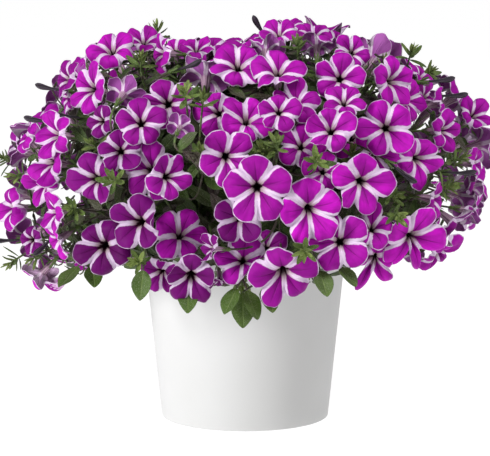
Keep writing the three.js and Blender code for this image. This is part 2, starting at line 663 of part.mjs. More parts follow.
// Whether a new solid keeps clear of the others. It may touch its own stem and, where blooms have to
// share room, the rest of its own spray.
function isClear(made, stem, maySharePlace) {
  const box = made.boundingBox();
  return taken.every((other) => {
    if (other.stem === stem && (other.isStem || maySharePlace)) return true;
    const apart = [0, 1, 2].some(
      (a) => box.min[a] > other.box.max[a] + CLEARANCE || other.box.min[a] > box.max[a] + CLEARANCE,
    );
    return apart || made.minGap(other.made, 2 * CLEARANCE) >= CLEARANCE;
  });
}

// Grows a piece on one of the stems nearest to its base, at a joint from which it is clear of the rest.
function grow(stems, base, make, maySharePlace = false) {
  const nearest = [...stems].sort((a, b) => a.tip.distanceTo(base) - b.tip.distanceTo(base));
  for (const stem of nearest.slice(0, JOINT.stems))
    for (const later of JOINT.later) {
      const share = JOINT.first + JOINT.step * (stem.stalks % JOINT.round) + later;
      const made = make(onStem(stem, Math.min(JOINT.last, share)).point);
      if (!isClear(made, stem, maySharePlace)) continue;
      take(made, stem);
      stem.stalks += 1;
      return true;
    }
  return false;
}

// Tries a piece at its own place and then a little nearer or further along its way.
function growNear(stems, base, way, make) {
  return SHIFTS.some((shift) => {
    const moved = base.clone().addScaledVector(way, shift);
    return grow(stems, moved, (joint) => make(moved, joint));
  });
}

// One broad leaf on a stem's own side, turned until it is clear.
function growStemLeaf(stem, number) {
  for (const share of STEM_LEAF_SHARES)
    for (let t = 0; t < LEAF.tries; t++) {
      const { point, along } = onStem(stem, share);
      const angle = number * GOLDEN_ANGLE + (t * 2 * Math.PI) / LEAF.tries;
      const level = levelAcross(along);
      const round = level.clone().cross(along);
      const out = level.multiplyScalar(Math.cos(angle)).addScaledVector(round, Math.sin(angle));
      const made = leafSolid(point, out.addScaledVector(along, LEAF.rise).normalize(), along, LEAF);
      if (!isClear(made, stem, false)) continue;
      take(made, stem);
      return;
    }
}

// Grows everything that the stems carry, the blooms first.
function growPlant(stems) {
  const blooms = seenBlooms();
  addHiddenBlooms(blooms);
  for (const bloom of blooms) {
    const make = (joint) => bloomSolid(bloom, joint);
    if (!grow(stems, tubeEnd(bloom), make)) grow(stems, tubeEnd(bloom), make, true);
  }
  for (const [u, v, turn, lift, length] of SEEN_RIM_LEAVES) {
    const along = heading(turn, lift);
    const { point, direction } = seenPoint(u, v);
    growNear(stems, point, direction.negate(), (base, joint) => rimLeafSolid(base, along, length, joint));
  }
  for (const [u, v, turn, lift] of SEEN_BUDS) {
    const along = heading(turn, lift);
    const { point, direction } = seenPoint(u, v);
    const base = point.addScaledVector(along, -BUD.length / 2);
    growNear(stems, base, direction.negate(), (moved, joint) => budSolid(moved, along, joint));
  }
  stems.forEach(growStemLeaf);
  for (const { base, along, way } of shootPlaces(blooms))
    SHOOT.sizes.some((size) =>
      growNear(stems, base, way, (moved, joint) => shootSolid(moved, along, size, joint)),
    );
}

// ---------- The scene ----------

// A named mesh of a solid, with its own place. Gaps that its parts close in on are filled.
function meshOf(name, made, place, colour, roughness) {
  const outer = made.decompose().sort((a, b) => b.volume() - a.volume())[0];
  const { vertProperties, triVerts } = outer.getMesh();
  const geometry = new THREE.BufferGeometry();
  geometry.setAttribute("position", new THREE.BufferAttribute(new Float32Array(vertProperties), 3));
  geometry.setIndex(new THREE.BufferAttribute(new Uint32Array(triVerts), 1));
  geometry.translate(-place.x, -place.y, -place.z);
  const material = new THREE.MeshStandardMaterial({ color: colour, roughness, metalness: 0 });
  const mesh = new THREE.Mesh(geometry, material);
  mesh.name = name;
  mesh.position.copy(place);
  return mesh;
}

const stems = stemPaths();
const pot = potSolid();
const soil = soilSolid(stems);
take(pot, null);
take(soil, null);
for (const stem of stems) take(stemSolid(stem), stem, true);
growPlant(stems);

const origin = new THREE.Vector3(0, 0, 0);
const group = new THREE.Group();
group.add(meshOf("pot", pot, origin, COLOURS.pot, 0.5));
group.add(meshOf("soil", soil, origin, COLOURS.soil, 0.95));
stems.forEach((stem, i) => {
  const parts = taken.filter((piece) => piece.stem === stem).map((piece) => piece.made);
  const name = "flower_stem_" + String(i + 1).padStart(2, "0");
  group.add(meshOf(name, wasm.Manifold.union(parts), stem.foot, COLOURS.plant, 0.7));
});

export default group;
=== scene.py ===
"""A striped petunia that mounds over a plain white pot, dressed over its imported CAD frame.

Lengths are worked out in millimetres and become metres where a mesh is made. +Z is up and -Y is the front.
The plant follows the same plan as the CAD model: the same stems, blooms, shoots, buds and leaves, from the
same values. Which of them are there, how deep each one sits and which stem carries it are read from the
frame's own vertices.
"""

import math

import bpy
import numpy as np
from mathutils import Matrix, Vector, kdtree


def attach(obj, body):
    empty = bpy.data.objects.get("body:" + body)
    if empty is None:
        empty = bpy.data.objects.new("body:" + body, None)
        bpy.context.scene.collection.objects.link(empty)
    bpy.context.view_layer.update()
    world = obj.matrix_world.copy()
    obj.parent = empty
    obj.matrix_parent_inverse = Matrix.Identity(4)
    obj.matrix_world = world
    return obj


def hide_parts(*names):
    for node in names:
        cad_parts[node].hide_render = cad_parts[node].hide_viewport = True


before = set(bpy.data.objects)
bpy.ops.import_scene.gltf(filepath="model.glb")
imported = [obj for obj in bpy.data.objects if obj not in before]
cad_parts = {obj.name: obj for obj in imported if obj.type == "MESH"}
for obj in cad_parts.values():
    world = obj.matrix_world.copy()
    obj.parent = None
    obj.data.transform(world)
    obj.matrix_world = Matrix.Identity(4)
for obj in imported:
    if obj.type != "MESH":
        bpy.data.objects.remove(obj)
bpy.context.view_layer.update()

# ---------- The plan's values, in millimetres and degrees ----------

POT = {"height": 155, "foot": 75, "rim": 91, "wall": 3, "floor": 4, "hub": 0.4, "sides": 192}
POT_ROUNDS = {"edge": 1.2, "lip": 0.8, "cove": 2}
DRAIN = {"radius": 5, "ring": 42, "count": 4}
SOIL = {"rim_z": 139, "crown_z": 145, "play": 4, "rings": 40, "columns": 120, "rough": 1.6}
CRUMBS = {"count": 220, "reach": 84, "size": 0.8, "spread": 2.2}
MOUND = {"middle_z": 204, "reach": 213, "rise": 146, "drop": 102, "power": 2.5}
VIEW = {"distance": 2400, "aim_z": 170, "tilt": 8.2, "focal": 2675, "u": 245, "v": 228, "stride": 4}
PICTURE_WIDTH = 490

STEM = {"count": 36, "foot_radius": 2.1, "tip_radius": 1.4, "steps": 4, "share": 0.68, "lowest": -0.42}
# The heights and pulls that bend a stem: those of stems far out are lower.
STEM_CURVE = {"collar": 4, "rise": 50, "fall": 20, "arrive": 34, "lift": 18}
STALK_RADII = (1.1, 0.9)
FEET = {"inner": 9, "outer": 66, "depth": 12}
JOINT = {"first": 0.62, "last": 0.985, "step": 0.055, "round": 7, "later": (0, 0.15, 0.27)}
LOBES = 5
BLOOM = {"radius": 25, "ring_radius": 5.5, "ring_depth": 6, "throat_depth": 14}
TUBE = {"neck_radius": 4.5, "length": 32}
# How far in along its line each bloom may sit, how thick its flesh is, and the room that is left round it.
INWARD = {"step": 3, "steps": 20}
FLESH, CLEARANCE = 3.5, 0.8
HIDDEN = {"lowest": -0.46, "raises": 12}
HIDDEN_BLOOMS = {"count": 144, "offset": 0.7, "radius": 25.5, "spread": 2.5}
HIDDEN_TILT = {"sway": 0.7, "up": 0.25}
LEAF = {"length": 38, "width": 20, "bend": 0.25, "rise": 0.5, "tries": 8, "shares": (0.9, 0.7, 0.5)}
RIM_LEAF = {"bend": 0.16, "width": 0.671}
STEM_LEAVES = {"count": 15, "first": 0.3, "spread": 0.68, "lengths": (24, 40)}
STALK_LEAVES = {"places": (4, 7), "lengths": (16, 30)}
# Leaves on twigs, in layers: how many are tried, the share of the mound they lie at, and their lengths.
GAP_LEAVES = ((900, 0.92, (14, 24)), (700, 0.84, (20, 32)), (420, 0.72, (32, 44)), (260, 0.56, (36, 48)))
TWIG = {"longest": 60, "bend": 0.2, "radii": (0.9, 0.7)}
SHOOT = {"axis": 12, "point": 5, "leaves": 12, "sizes": (1, 0.75)}
HIDDEN_SHOOTS = {"count": 56, "offset": 2.1, "sunk": 0.6}
BUD = {"length": 32, "tip_radius": 0.4}
SHIFTS = (0, 4, -4, 8, -8, 12, -12, 16, -16, 20, -20, 25, -25, -30, -35)
GOLDEN_ANGLE = math.pi * (3 - math.sqrt(5))
UP = np.array([0.0, 0.0, 1.0])

# What each material slot's pieces are called, and the third part of the flat attribute on shoots and stems.
PIECES = {"petal": "blooms", "leaf": "greens", "bud": "buds"}
SHOOT_KIND, STEM_KIND = 1.0, 2.0

# Blooms, nearest first: the pixel of the throat, the width, the way the bloom faces (turn and lift), and
# the way one stripe points, clockwise from straight up.
SEEN_BLOOMS = [
    (283, 272, 54, 2, -22, -38), (191, 275, 45, 0, -10, -29), (257, 187, 55, 0, 4, -37),
    (309, 209, 54, 8, -2, -47), (361, 181, 52, 8, 4, -26), (180, 235, 49, 8, 26, -19),
    (104, 246, 52, -11, 0, -10), (340, 242, 51, 0, 8, 18), (411, 237, 51, 14, -8, -31),
    (374, 258, 44, -8, -10, -24), (226, 157, 50, 6, 0, 7), (167, 177, 42, 20, 6, 0),
    (151, 171, 52, -12, 8, -30), (140, 222, 49, -17, 4, -28), (161, 272, 38, -22, -16, -30),
    (243, 261, 45, 0, 14, -36), (266, 248, 38, 0, 20, -30), (372, 229, 38, 6, 24, -20),
    (386, 128, 50, 2, 10, 16), (246, 121, 49, 3, 34, -6), (141, 123, 46, 0, 22, -41),
    (96, 179, 48, -24, 6, -47), (323, 172, 39, 0, 14, -30), (331, 131, 46, 0, 24, -35),
    (417, 159, 46, 24, -2, 0), (240, 218, 46, -4, 0, -36), (121, 151, 41, 0, 14, -40),
    (218, 113, 44, -10, 18, -40), (279, 112, 38, 4, 24, -30), (168, 104, 46, 0, 14, -48),
    (340, 79, 46, 0, 14, -24), (278, 73, 49, 0, 48, -38), (238, 62, 50, 0, 34, 5),
    (112, 48, 45, -10, 44, -5), (92, 89, 46, -42, 14, -20), (296, 104, 42, 0, 40, -36),
    (378, 152, 44, 6, 8, 0), (352, 138, 42, 6, 22, -30), (301, 147, 40, 0, 18, -20),
    (57, 135, 42, -58, 10, 10), (51, 162, 46, -52, 12, -20), (44, 184, 40, -46, -6, 30),
    (57, 212, 38, -26, 0, -20), (12, 207, 42, -50, 0, 0), (58, 240, 36, -30, -14, 10),
    (32, 240, 27, -34, 0, 20), (49, 274, 38, -52, -48, 0), (391, 78, 44, 36, 8, -30),
    (407, 100, 40, 58, 8, 0), (443, 131, 44, 42, 4, -20), (474, 115, 42, 50, 28, 10),
    (433, 199, 36, 70, -6, 0), (438, 252, 42, 50, -42, 0), (452, 222, 42, 84, -38, 0),
    (472, 211, 34, 80, -8, 0), (462, 196, 38, 96, -18, 0), (476, 186, 40, 104, -8, 0),
    (474, 164, 32, 70, 4, 0), (481, 144, 46, 118, 10, 0), (438, 104, 32, 98, 12, 0),
    (425, 97, 30, 52, 30, 0), (421, 69, 30, 60, 42, 0), (344, 103, 38, 4, 48, 0),
    (206, 77, 46, 178, 42, 0), (124, 94, 34, 160, 24, 0), (179, 126, 24, 40, 22, 0),
    (163, 55, 36, -24, 30, 0), (102, 121, 30, -42, 12, 0), (67, 80, 36, -76, 46, 0),
    (29, 127, 34, -78, 28, 0), (24, 154, 36, -98, 10, 0), (68, 98, 30, -68, -6, 0),
    (352, 53, 34, 12, 24, 0), (372, 44, 46, 150, 34, 0), (317, 45, 34, 178, 50, 0),
    (266, 48, 34, 172, 44, 0), (313, 31, 38, 0, 64, 0), (336, 36, 34, 40, 58, 0),
    (252, 42, 40, 0, 62, 0), (279, 33, 34, -10, 58, 0), (288, 22, 37, 0, 80, 0),
    (196, 42, 30, 0, 62, 0), (175, 45, 30, -20, 60, 0), (144, 36, 34, 10, 58, 0),
    (207, 248, 26, -6, 4, 0), (221, 281, 24, -4, -22, 0),
]

# The plant's top outline, from left to right: pixels across and down. Every bloom stays under it.
SKYLINE = np.array([
    (0, 118), (38, 118), (45, 90), (60, 76), (80, 56), (92, 28), (165, 27), (185, 38), (250, 38), (270, 20),
    (310, 16), (340, 30), (385, 39), (398, 55), (425, 66), (445, 72), (470, 90), (490, 108),
])
# How far a piece is moved at a time to get inside these outlines, how often at most, the slack that blooms
# have there, and the room that is left above a hidden shoot.
SKY = {"step": 1.5, "steps": 40, "slack": 1, "room": 6}

# The plant's lower outline, which hidden blooms, stalks and the leaves of its inside stay above.
HEM = np.array([
    (0, 255), (35, 264), (60, 270), (75, 277), (105, 276), (115, 268), (130, 270), (150, 284), (245, 292),
    (300, 286), (325, 284), (350, 272), (385, 262), (425, 254), (455, 244), (470, 215), (490, 190),
])

# How the clearest of these blooms differ from an even one, by number: the degrees that each stripe is off its
# place, each lobe's length in hundredths, and where they matter, the degrees that each lobe bends forward and
# how far out the rim is at each stripe, in hundredths.
FORMS = {
    0: ((-15, 0, -1, -4, -16), (92, 108, 105, 108, 104)),
    1: ((-6, 4, 8, -1, -16), (84, 92, 112, 115, 95), (0, 45, -10, -10, 40)),
    2: ((-9, 2, 7, 0, -14), (94, 102, 104, 106, 97), (0,) * 5, (75, 75, 75, 92, 75)),
    3: ((-5, 11, 10, 8, -13), (96, 98, 106, 103, 92), (0,) * 5, (80, 75, 75, 92, 75)),
    4: ((-11, 12, 14, 8, -13), (86, 106, 106, 103, 98)),
    5: ((12, 9, 2, -7, -13), (97, 104, 92, 104, 100)),
    6: ((-4, 6, 12, 13, 5), (95, 92, 94, 102, 90)),
    7: ((-12, -2, 10, 9, -14), (100, 98, 101, 100, 96)),
    8: ((26, 17, 30, 3, -5), (116, 124, 130, 126, 92), (0, 0, -8, -8, 0), (72, 78, 48, 40, 70)),
    9: ((-1, 17, 2, -6, -36), (112, 74, 124, 172, 108), (0, 40, -8, -8, 20), (50, 70, 64, 52, 42)),
    10: ((3, 2, -5, -12, -4), (98, 75, 98, 88, 94)),
    11: ((10, 4, -3, -10, -3), (100, 100, 88, 95, 95), (0, 0, -10, 60, 50)),
    12: ((2, -6, -12, 1, 0), (98, 92, 100, 95, 108)),
    13: ((-8, 7, -5, -7, 4), (94, 95, 90, 100, 100), (0, 55, 0, 0, 0)),
    14: ((10, -1, 12, -8, -7), (60, 105, 95, 92, 98), (-50, 0, 0, 0, 0)),
    15: ((-14, 30, 8, 8, -4), (96, 80, 60, 100, 104), (0, -55, -60, 0, 0), (72, 86, 60, 72, 72)),
    16: ((0, -13, -12, -3, 0), (80, 98, 112, 90, 90)),
    17: ((-14, -13, -13, 0, -11), (125, 92, 100, 85, 85)),
    18: ((-3, 7, 12, 6, -4), (100, 104, 96, 108, 98)),
    19: ((3, 12, 11, -12, 5), (91, 100, 85, 87, 98), (0, 0, -45, 0, 0)),
    20: ((-4, -3, 5, 2, -7), (99, 97, 88, 90, 90)),
    21: ((-14, -11, 9, -1, -13), (96, 95, 100, 90, 112), (0, -65, 45, -40, 0)),
    22: ((2, 12, 14, 6, -13), (87, 85, 85, 90, 96)),
    23: ((-4, -12, 0, 10, -5), (82, 95, 85, 95, 98), (0, 25, -20, 40, 30)),
    24: ((-4, 7, 1, -12, -13), (92, 104, 112, 95, 90), (0, 0, 10, -50, 0)),
    25: ((10, 10, -10, 1, 5), (90, 90, 92, 94, 92)),
    26: ((-13, 8, -10, 10, 0), (82, 88, 95, 92, 92)),
    27: ((-12, -10, -4, -12, -12), (74, 90, 90, 96, 100)),
    28: ((-14, -4, 2, 12, -12), (76, 100, 96, 90, 90)),
    29: ((-11, -5, -2, -3, 12), (95, 100, 92, 96, 106)),
    30: ((-8, -2, -1, 10, 6), (95, 91, 84, 92, 95)),
    31: ((0, 12, 10, 10, 3), (80, 98, 90, 96, 93)),
    32: ((-6, -7, 5, 11, -12), (80, 100, 76, 95, 104)),
    33: ((9, 12, 0, 12, 5), (97, 92, 88, 104, 100)),
    34: ((-2, -4, 11, 3, -10), (103, 90, 96, 94, 82)),
    46: ((0, 18, 10, 10, 0), (90, 130, 165, 110, 90), (0, -10, -25, -15, 0), (70, 60, 45, 50, 70)),
    49: ((4, -6, 6, 0, -8), (86, 80, 84, 76, 74), (20, 0, 0, -20, 0), (50, 54, 50, 52, 52)),
    50: ((0, 8, 0, -6, 0), (112, 84, 62, 62, 88), (0, 30, 0, 0, 20), (56,) * 5),
    52: ((0, 10, 12, 0, 0), (115, 118, 142, 80, 90), (10, -10, -10, 0, 0), (70, 45, 42, 50, 70)),
    84: ((0,) * 5, (100, 80, 90, 92, 100), (25,) * 5),
    85: ((0,) * 5, (100, 90, 86, 96, 95), (20,) * 5),
}
# Blooms that sit or face otherwise than their solids: the shift right, back and up, the turn and the lift.
TURNED = {
    36: (0, 40, -6, 6, 8), 42: (-3, 0, 0, -66, -2), 43: (0, 0, 0, -68, 4), 44: (0, 0, 0, -62, -28),
    46: (-6, -6, 2, -118, -44), 50: (-2, 0, 2, 30, 30), 65: (0, 0, 0, 168, 22), 66: (-2, 0, 0, -66, 6),
    68: (0, 0, 0, -62, 16), 84: (2, 0, 0, -66, 6), 85: (0, 0, 0, 24, -64),
}
# How deep each of the clearest blooms' purple is, in hundredths, and which of the others are pale or deep.
# These are partly each bloom's own depth of colour and partly painted shade: blooms that lie in shade are
# made deeper, and a bloom that faces down into shade is made paler.
DEPTHS_AND_SHADES = (
    60, 105, 51, -2, 18, 0, 116, 46, -15, 11, 44, 54, 46, 99, 75, 32, 77, 35, 5, -6, 66, 81, 5, 28, -4, 96,
    88, 39, 46, 69, 40, 34, 34, 14, 29,
)
PALE_BLOOMS = {36, 37, 44, 46, 47, 48}
DEEP_BLOOMS = {53, 64, 65, 68}
DEEPEST_BLOOMS = {45, 67, 84, 85}

# Leafy shoot tips: the pixel of the tip and the way the shoot points.
SEEN_SHOOTS = [
    (157, 30, 0, 75), (141, 60, 0, 60), (185, 93, -6, 50), (203, 100, 10, 60), (94, 145, -40, 40),
    (3, 158, -80, 30), (16, 176, -70, 0), (113, 180, -10, 20), (200, 152, 0, 40), (72, 209, -30, 10),
    (34, 258, -60, -20), (138, 262, -16, 14), (242, 284, 0, -24), (277, 143, 0, 50), (316, 160, 0, 30),
    (353, 153, 10, 50), (411, 52, 24, 62), (430, 72, 50, 30), (298, 44, 0, 70), (449, 186, 60, 20),
    (460, 158, 70, 20), (12, 262, -70, -30), (305, 252, 0, -10), (395, 196, 30, 10),
    (398, 216, 30, 0), (148, 205, -10, 10), (262, 150, 0, 30),
]

# Closed dark buds: the pixel of the bud's middle and the way it points.
SEEN_BUDS = [
    (262, 30, -60, 55), (437, 80, 80, 8), (450, 95, 84, 4), (53, 88, -84, 12), (42, 120, -80, 10),
    (46, 243, -50, -34), (8, 240, -80, 0), (186, 66, 60, 20), (402, 172, 60, -30), (458, 172, 84, 2),
    (70, 116, -70, 8),
]

# Broad leaves that hang at the rim: the pixel of the base, the way the leaf points, and its length.
SEEN_RIM_LEAVES = [
    (236, 288, -34, -40, 26), (243, 292, 0, -70, 30), (247, 290, 40, -50, 27), (143, 270, -14, -60, 26),
    (78, 266, -40, -24, 28), (92, 266, 10, -30, 24), (320, 270, 20, -40, 26), (341, 266, 40, -30, 24),
    (188, 284, 0, -50, 26), (266, 286, 20, -40, 26),
]

# ---------- Small helpers ----------


def draws(seed):
    """Repeatable random numbers from 0 to 1, the same ones as in the CAD model."""
    state = seed
    while True:
        state = state * 16807 % 2147483647
        yield state / 2147483647


def unit(vector):
    return vector / np.linalg.norm(vector)


def heading(turn, lift):
    """The direction at a turn from the front (towards the right) and a lift above the horizon."""
    t, l = math.radians(turn), math.radians(lift)
    return np.array([math.sin(t) * math.cos(l), -math.cos(t) * math.cos(l), math.sin(l)])


def facing_axes(turn, lift):
    """Rows x, y and z of a piece that faces that way: x to its right as seen from in front, z outwards."""
    t = math.radians(turn)
    x, z = np.array([math.cos(t), math.sin(t), 0.0]), heading(turn, lift)
    return np.array([x, np.cross(z, x), z])


def turn_and_lift(direction):
    return (
        math.degrees(math.atan2(direction[0], -direction[1])),
        math.degrees(math.asin(max(-1, min(1, direction[2])))),
    )


def axes_along(along, face):
    """Rows x, y and z with x along a direction and z as near as possible to another one."""
    x = unit(along)
    y = unit(np.cross(face, x))
    return np.array([x, y, np.cross(x, y)])


def level_across(along):
    return unit(np.cross(along, np.array([0.0, 1.0, 0.0]) if abs(along[2]) > 0.95 else UP))


def spoke(way, angle):
    """The direction square to a way, at an angle round it."""
    level = level_across(way)
    return level * math.cos(angle) + np.cross(level, way) * math.sin(angle)


def circle(count):
    """Angles spread evenly over a full turn."""
    return 2 * np.pi * np.arange(count) / count


def arc(start, pull, end, count):
    """Points on a curve that leaves its start towards a third point and comes from it to its end."""
    t = np.linspace(0, 1, count)[:, None]
    return start * (1 - t) ** 2 + 2 * pull * (1 - t) * t + end * t * t


def between(random, low, high):
    return low + (high - low) * random.rand()


def soft_step(value, low, high):
    share = np.clip((value - low) / (high - low), 0, 1)
    return share * share * (3 - 2 * share)


# ---------- The mound and the line of sight ----------


def mound_parts(point):
    """How far a point is out and above the mound's middle, and the mound's height on that side."""
    up = point[2] - MOUND["middle_z"]
    return math.hypot(point[0], point[1]), up, MOUND["rise"] if up > 0 else MOUND["drop"]


def mound_level(point):
    out, up, height = mound_parts(point)
    return (out / MOUND["reach"]) ** MOUND["power"] + (abs(up) / height) ** MOUND["power"]


def mound_point(direction, share=1):
    middle = np.array([0.0, 0.0, MOUND["middle_z"]])
    return middle + direction * share * mound_level(middle + direction) ** (-1 / MOUND["power"])


def mound_normal(point):
    out, up, height = mound_parts(point)
    power = MOUND["power"]
    flat = out ** (power - 2) / MOUND["reach"] ** power
    steep = abs(up) ** (power - 2) / height ** power
    return unit(np.array([point[0] * flat, point[1] * flat, up * steep]))


def lattice(count, lowest, offset=0.0):
    """Directions spread evenly over the mound, from its top down to a lowest cosine."""
    found = []
    for i in range(count):
        z = 1 - ((i + 0.5) / count) * (1 - lowest)
        flat, angle = math.sqrt(1 - z * z), i * GOLDEN_ANGLE + offset
        found.append(np.array([flat * math.cos(angle), flat * math.sin(angle), z]))
    return found


def camera_axes():
    tilt = math.radians(VIEW["tilt"])
    forward = np.array([0, math.cos(tilt), -math.sin(tilt)])
    up = np.array([0, math.sin(tilt), math.cos(tilt)])
    return forward, up, np.array([0, 0, VIEW["aim_z"]]) - forward * VIEW["distance"]


def seen_point(u, v):
    """The mound's point on a pixel's line of sight, or the line's nearest point, and the line's way."""
    forward, up, eye = camera_axes()
    right = np.array([1.0, 0.0, 0.0])
    direction = forward + right * (u - VIEW["u"]) / VIEW["focal"] + up * (VIEW["v"] - v) / VIEW["focal"]
    direction = unit(direction)

    def level(distance):
        return mound_level(eye + direction * distance)

    far = VIEW["distance"] - 1.5 * MOUND["reach"]
    while level(far) > 1 and level(far + VIEW["stride"]) < level(far):
        far += VIEW["stride"]
    if level(far) <= 1:
        near = far - VIEW["stride"]
        for _ in range(30):
            middle = (near + far) / 2
            if level(middle) > 1:
                near = middle
            else:
                far = middle
    return eye + direction * far, direction


def seen_pixels(points):
    """The pixels across and down at which points are seen."""
    forward, up, eye = camera_axes()
    away = points - eye
    scale = VIEW["focal"] / (away @ forward)
    return VIEW["u"] + away[..., 0] * scale, VIEW["v"] - away @ up * scale


def are_under_skyline(points, slack=SKY["slack"]):
    across, down = seen_pixels(points)
    return bool(np.all(down > np.interp(across, *SKYLINE.T) - slack))


def are_above_hem(points):
    across, down = seen_pixels(points)
    return bool(np.all(down < np.interp(across, *HEM.T)))


# ---------- Where each bloom sits ----------

RIM = np.array([(math.sin(a), math.cos(a), 0) for a in circle(15)])


class Bloom:
    """A bloom's middle, axes, radius and stripe angle, and the stem that carries it.

    Its throat is at a place, or so far below it that its rim is under the plant's top outline.
    """

    def __init__(self, throat, radius, turn, lift, stripe):
        self.axes = facing_axes(turn, lift)
        self.size = radius / BLOOM["radius"]
        self.centre = throat + self.axes[2] * BLOOM["ring_depth"] * self.size
        self.radius = radius
        for _ in range(SKY["steps"]):
            if are_under_skyline(self.centre + radius * RIM @ self.axes):
                break
            self.centre = self.centre - UP * SKY["step"]
        self.stripe = math.radians(stripe)
        self.stem = None

    def tube_end(self):
        return self.centre - self.axes[2] * TUBE["length"] * self.size

    def sides(self, points, margin):
        """Which of the points are over the bloom, and which of those lie before its face and behind it."""
        local = (points - self.centre) @ self.axes.T
        out = np.hypot(local[..., 0], local[..., 1])
        over = out <= self.radius + margin
        ring = BLOOM["ring_radius"] * self.size
        along = np.clip((out - ring) / (self.radius - ring), 0, 1)
        face = -BLOOM["ring_depth"] * self.size * (1 - along)
        tube = np.where(out < TUBE["neck_radius"] * self.size + margin, 2 * self.radius, 0)
        rear = face - FLESH * self.size * (1 - along) - tube - margin
        before = over & (local[..., 2] > face + margin)
        return over, before, over & ~before & (local[..., 2] < rear)

    def is_crossed_by(self, points, margin):
        over, before, behind = self.sides(points, margin)
        return bool(np.any(over & ~before & ~behind) or (before.any() and behind.any()))


def seen_blooms():
    """The blooms that the photograph shows, and the line inwards on which each one sits."""
    for u, v, width, turn, lift, stripe in SEEN_BLOOMS:
        point, direction = seen_point(u, v)
        yield Bloom(point, width / 2, turn, lift, stripe), direction


def hidden_blooms():
    """An even spread of blooms over the mound, of which the frame has those on its top and far side."""
    random = draws(4021)
    for direction in lattice(HIDDEN_BLOOMS["count"], HIDDEN["lowest"], HIDDEN_BLOOMS["offset"]):
        sway = np.array([next(random) - 0.5 for _ in range(3)])
        size = HIDDEN_BLOOMS["radius"] + HIDDEN_BLOOMS["spread"] * (2 * next(random) - 1)
        stripe = 72 * next(random)
        surface = mound_point(direction)
        normal = mound_normal(surface)
        facing = unit(normal + sway * HIDDEN_TILT["sway"] + UP * HIDDEN_TILT["up"])
        yield Bloom(surface, size, *turn_and_lift(facing), stripe), -normal


# ---------- Stems ----------


class Stem:
    """One flower stem: upright in the soil, then arching out to its own share of the mound."""

    def __init__(self, number, direction):
        from_top = (number + 0.5) / STEM["count"]
        out = FEET["inner"] + (FEET["outer"] - FEET["inner"]) * math.sqrt(from_top)
        side = unit(direction * (1, 1, 0))
        self.node = f"flower_stem_{number + 1:02d}"
        self.foot = side * out + UP * (SOIL["rim_z"] - FEET["depth"])
        collar = side * out + UP * (SOIL["crown_z"] + STEM_CURVE["collar"])
        tip = mound_point(direction, STEM["share"])
        rise = collar + UP * (STEM_CURVE["rise"] - STEM_CURVE["fall"] * from_top)
        arrive = tip - STEM_CURVE["arrive"] * mound_normal(tip) + UP * STEM_CURVE["lift"] * from_top
        t = np.linspace(0, 1, 201)[:, None]
        curve = collar * (1 - t) ** 3 + 3 * rise * (1 - t) ** 2 * t
        curve = curve + 3 * arrive * (1 - t) * t * t + tip * t**3
        lengths = np.concatenate([[0], np.cumsum(np.linalg.norm(np.diff(curve, axis=0), axis=1))])
        self.curve, self.reach = curve, lengths / lengths[-1]
        self.path = np.array([self.at(k / STEM["steps"]) for k in range(STEM["steps"] + 1)])
        self.stalks = 0

    def at(self, share):
        """The point at a share of the smooth stem."""
        return np.array([np.interp(share, self.reach, self.curve[:, a]) for a in range(3)])

    def way(self, share):
        return unit(self.at(min(1, share + 0.02)) - self.at(max(0, share - 0.02)))

    def on_path(self, share):
        """The point at a share of the stem's straight stretches, and the way that the stretch runs."""
        at = share * STEM["steps"]
        k = min(STEM["steps"] - 1, int(at))
        step = self.path[k + 1] - self.path[k]
        return self.path[k] + step * (at - k), unit(step)


class Frame:
    """Finds the stem whose CAD node has a vertex at a place."""

    def __init__(self, stems):
        self.owners = []
        found = []
        for stem in stems:
            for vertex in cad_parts[stem.node].data.vertices:
                found.append(Vector(vertex.co) * 1000)
                self.owners.append(stem)
        self.tree = kdtree.KDTree(len(found))
        for k, place in enumerate(found):
            self.tree.insert(place, k)
        self.tree.balance()

    def owner(self, point, distance=0.0, slack=0.06):
        _, index, found = self.tree.find(Vector(point))
        return self.owners[index] if abs(found - distance) < slack else None

    def carrier(self, bloom):
        """The stem whose CAD node has the bottom of a bloom's throat, or else a point of its rim."""
        throat = bloom.centre - bloom.axes[2] * BLOOM["throat_depth"] * bloom.size
        turns = bloom.stripe + 2 * np.pi * np.array([k + share for k in range(5) for share in (0.3, 0.7)]) / 5
        rim = np.stack([np.sin(turns), np.cos(turns), 0 * turns], -1) @ bloom.axes
        for point in (throat, *(bloom.centre + 0.98 * bloom.radius * rim)):
            if self.owner(point):
                return self.owner(point)
        return None

    def seat(self, bloom, inward):
        """Moves a bloom inwards along a line to where the frame has it, if it does, and notes its stem."""
        start = bloom.centre
        for i in range(INWARD["steps"]):
            bloom.centre = start + inward * i * INWARD["step"]
            bloom.stem = self.carrier(bloom)
            if bloom.stem:
                return
        bloom.centre = start

    def nearest(self, point):
        return self.owners[self.tree.find(Vector(point))[1]]


# ---------- Meshes in the making ----------


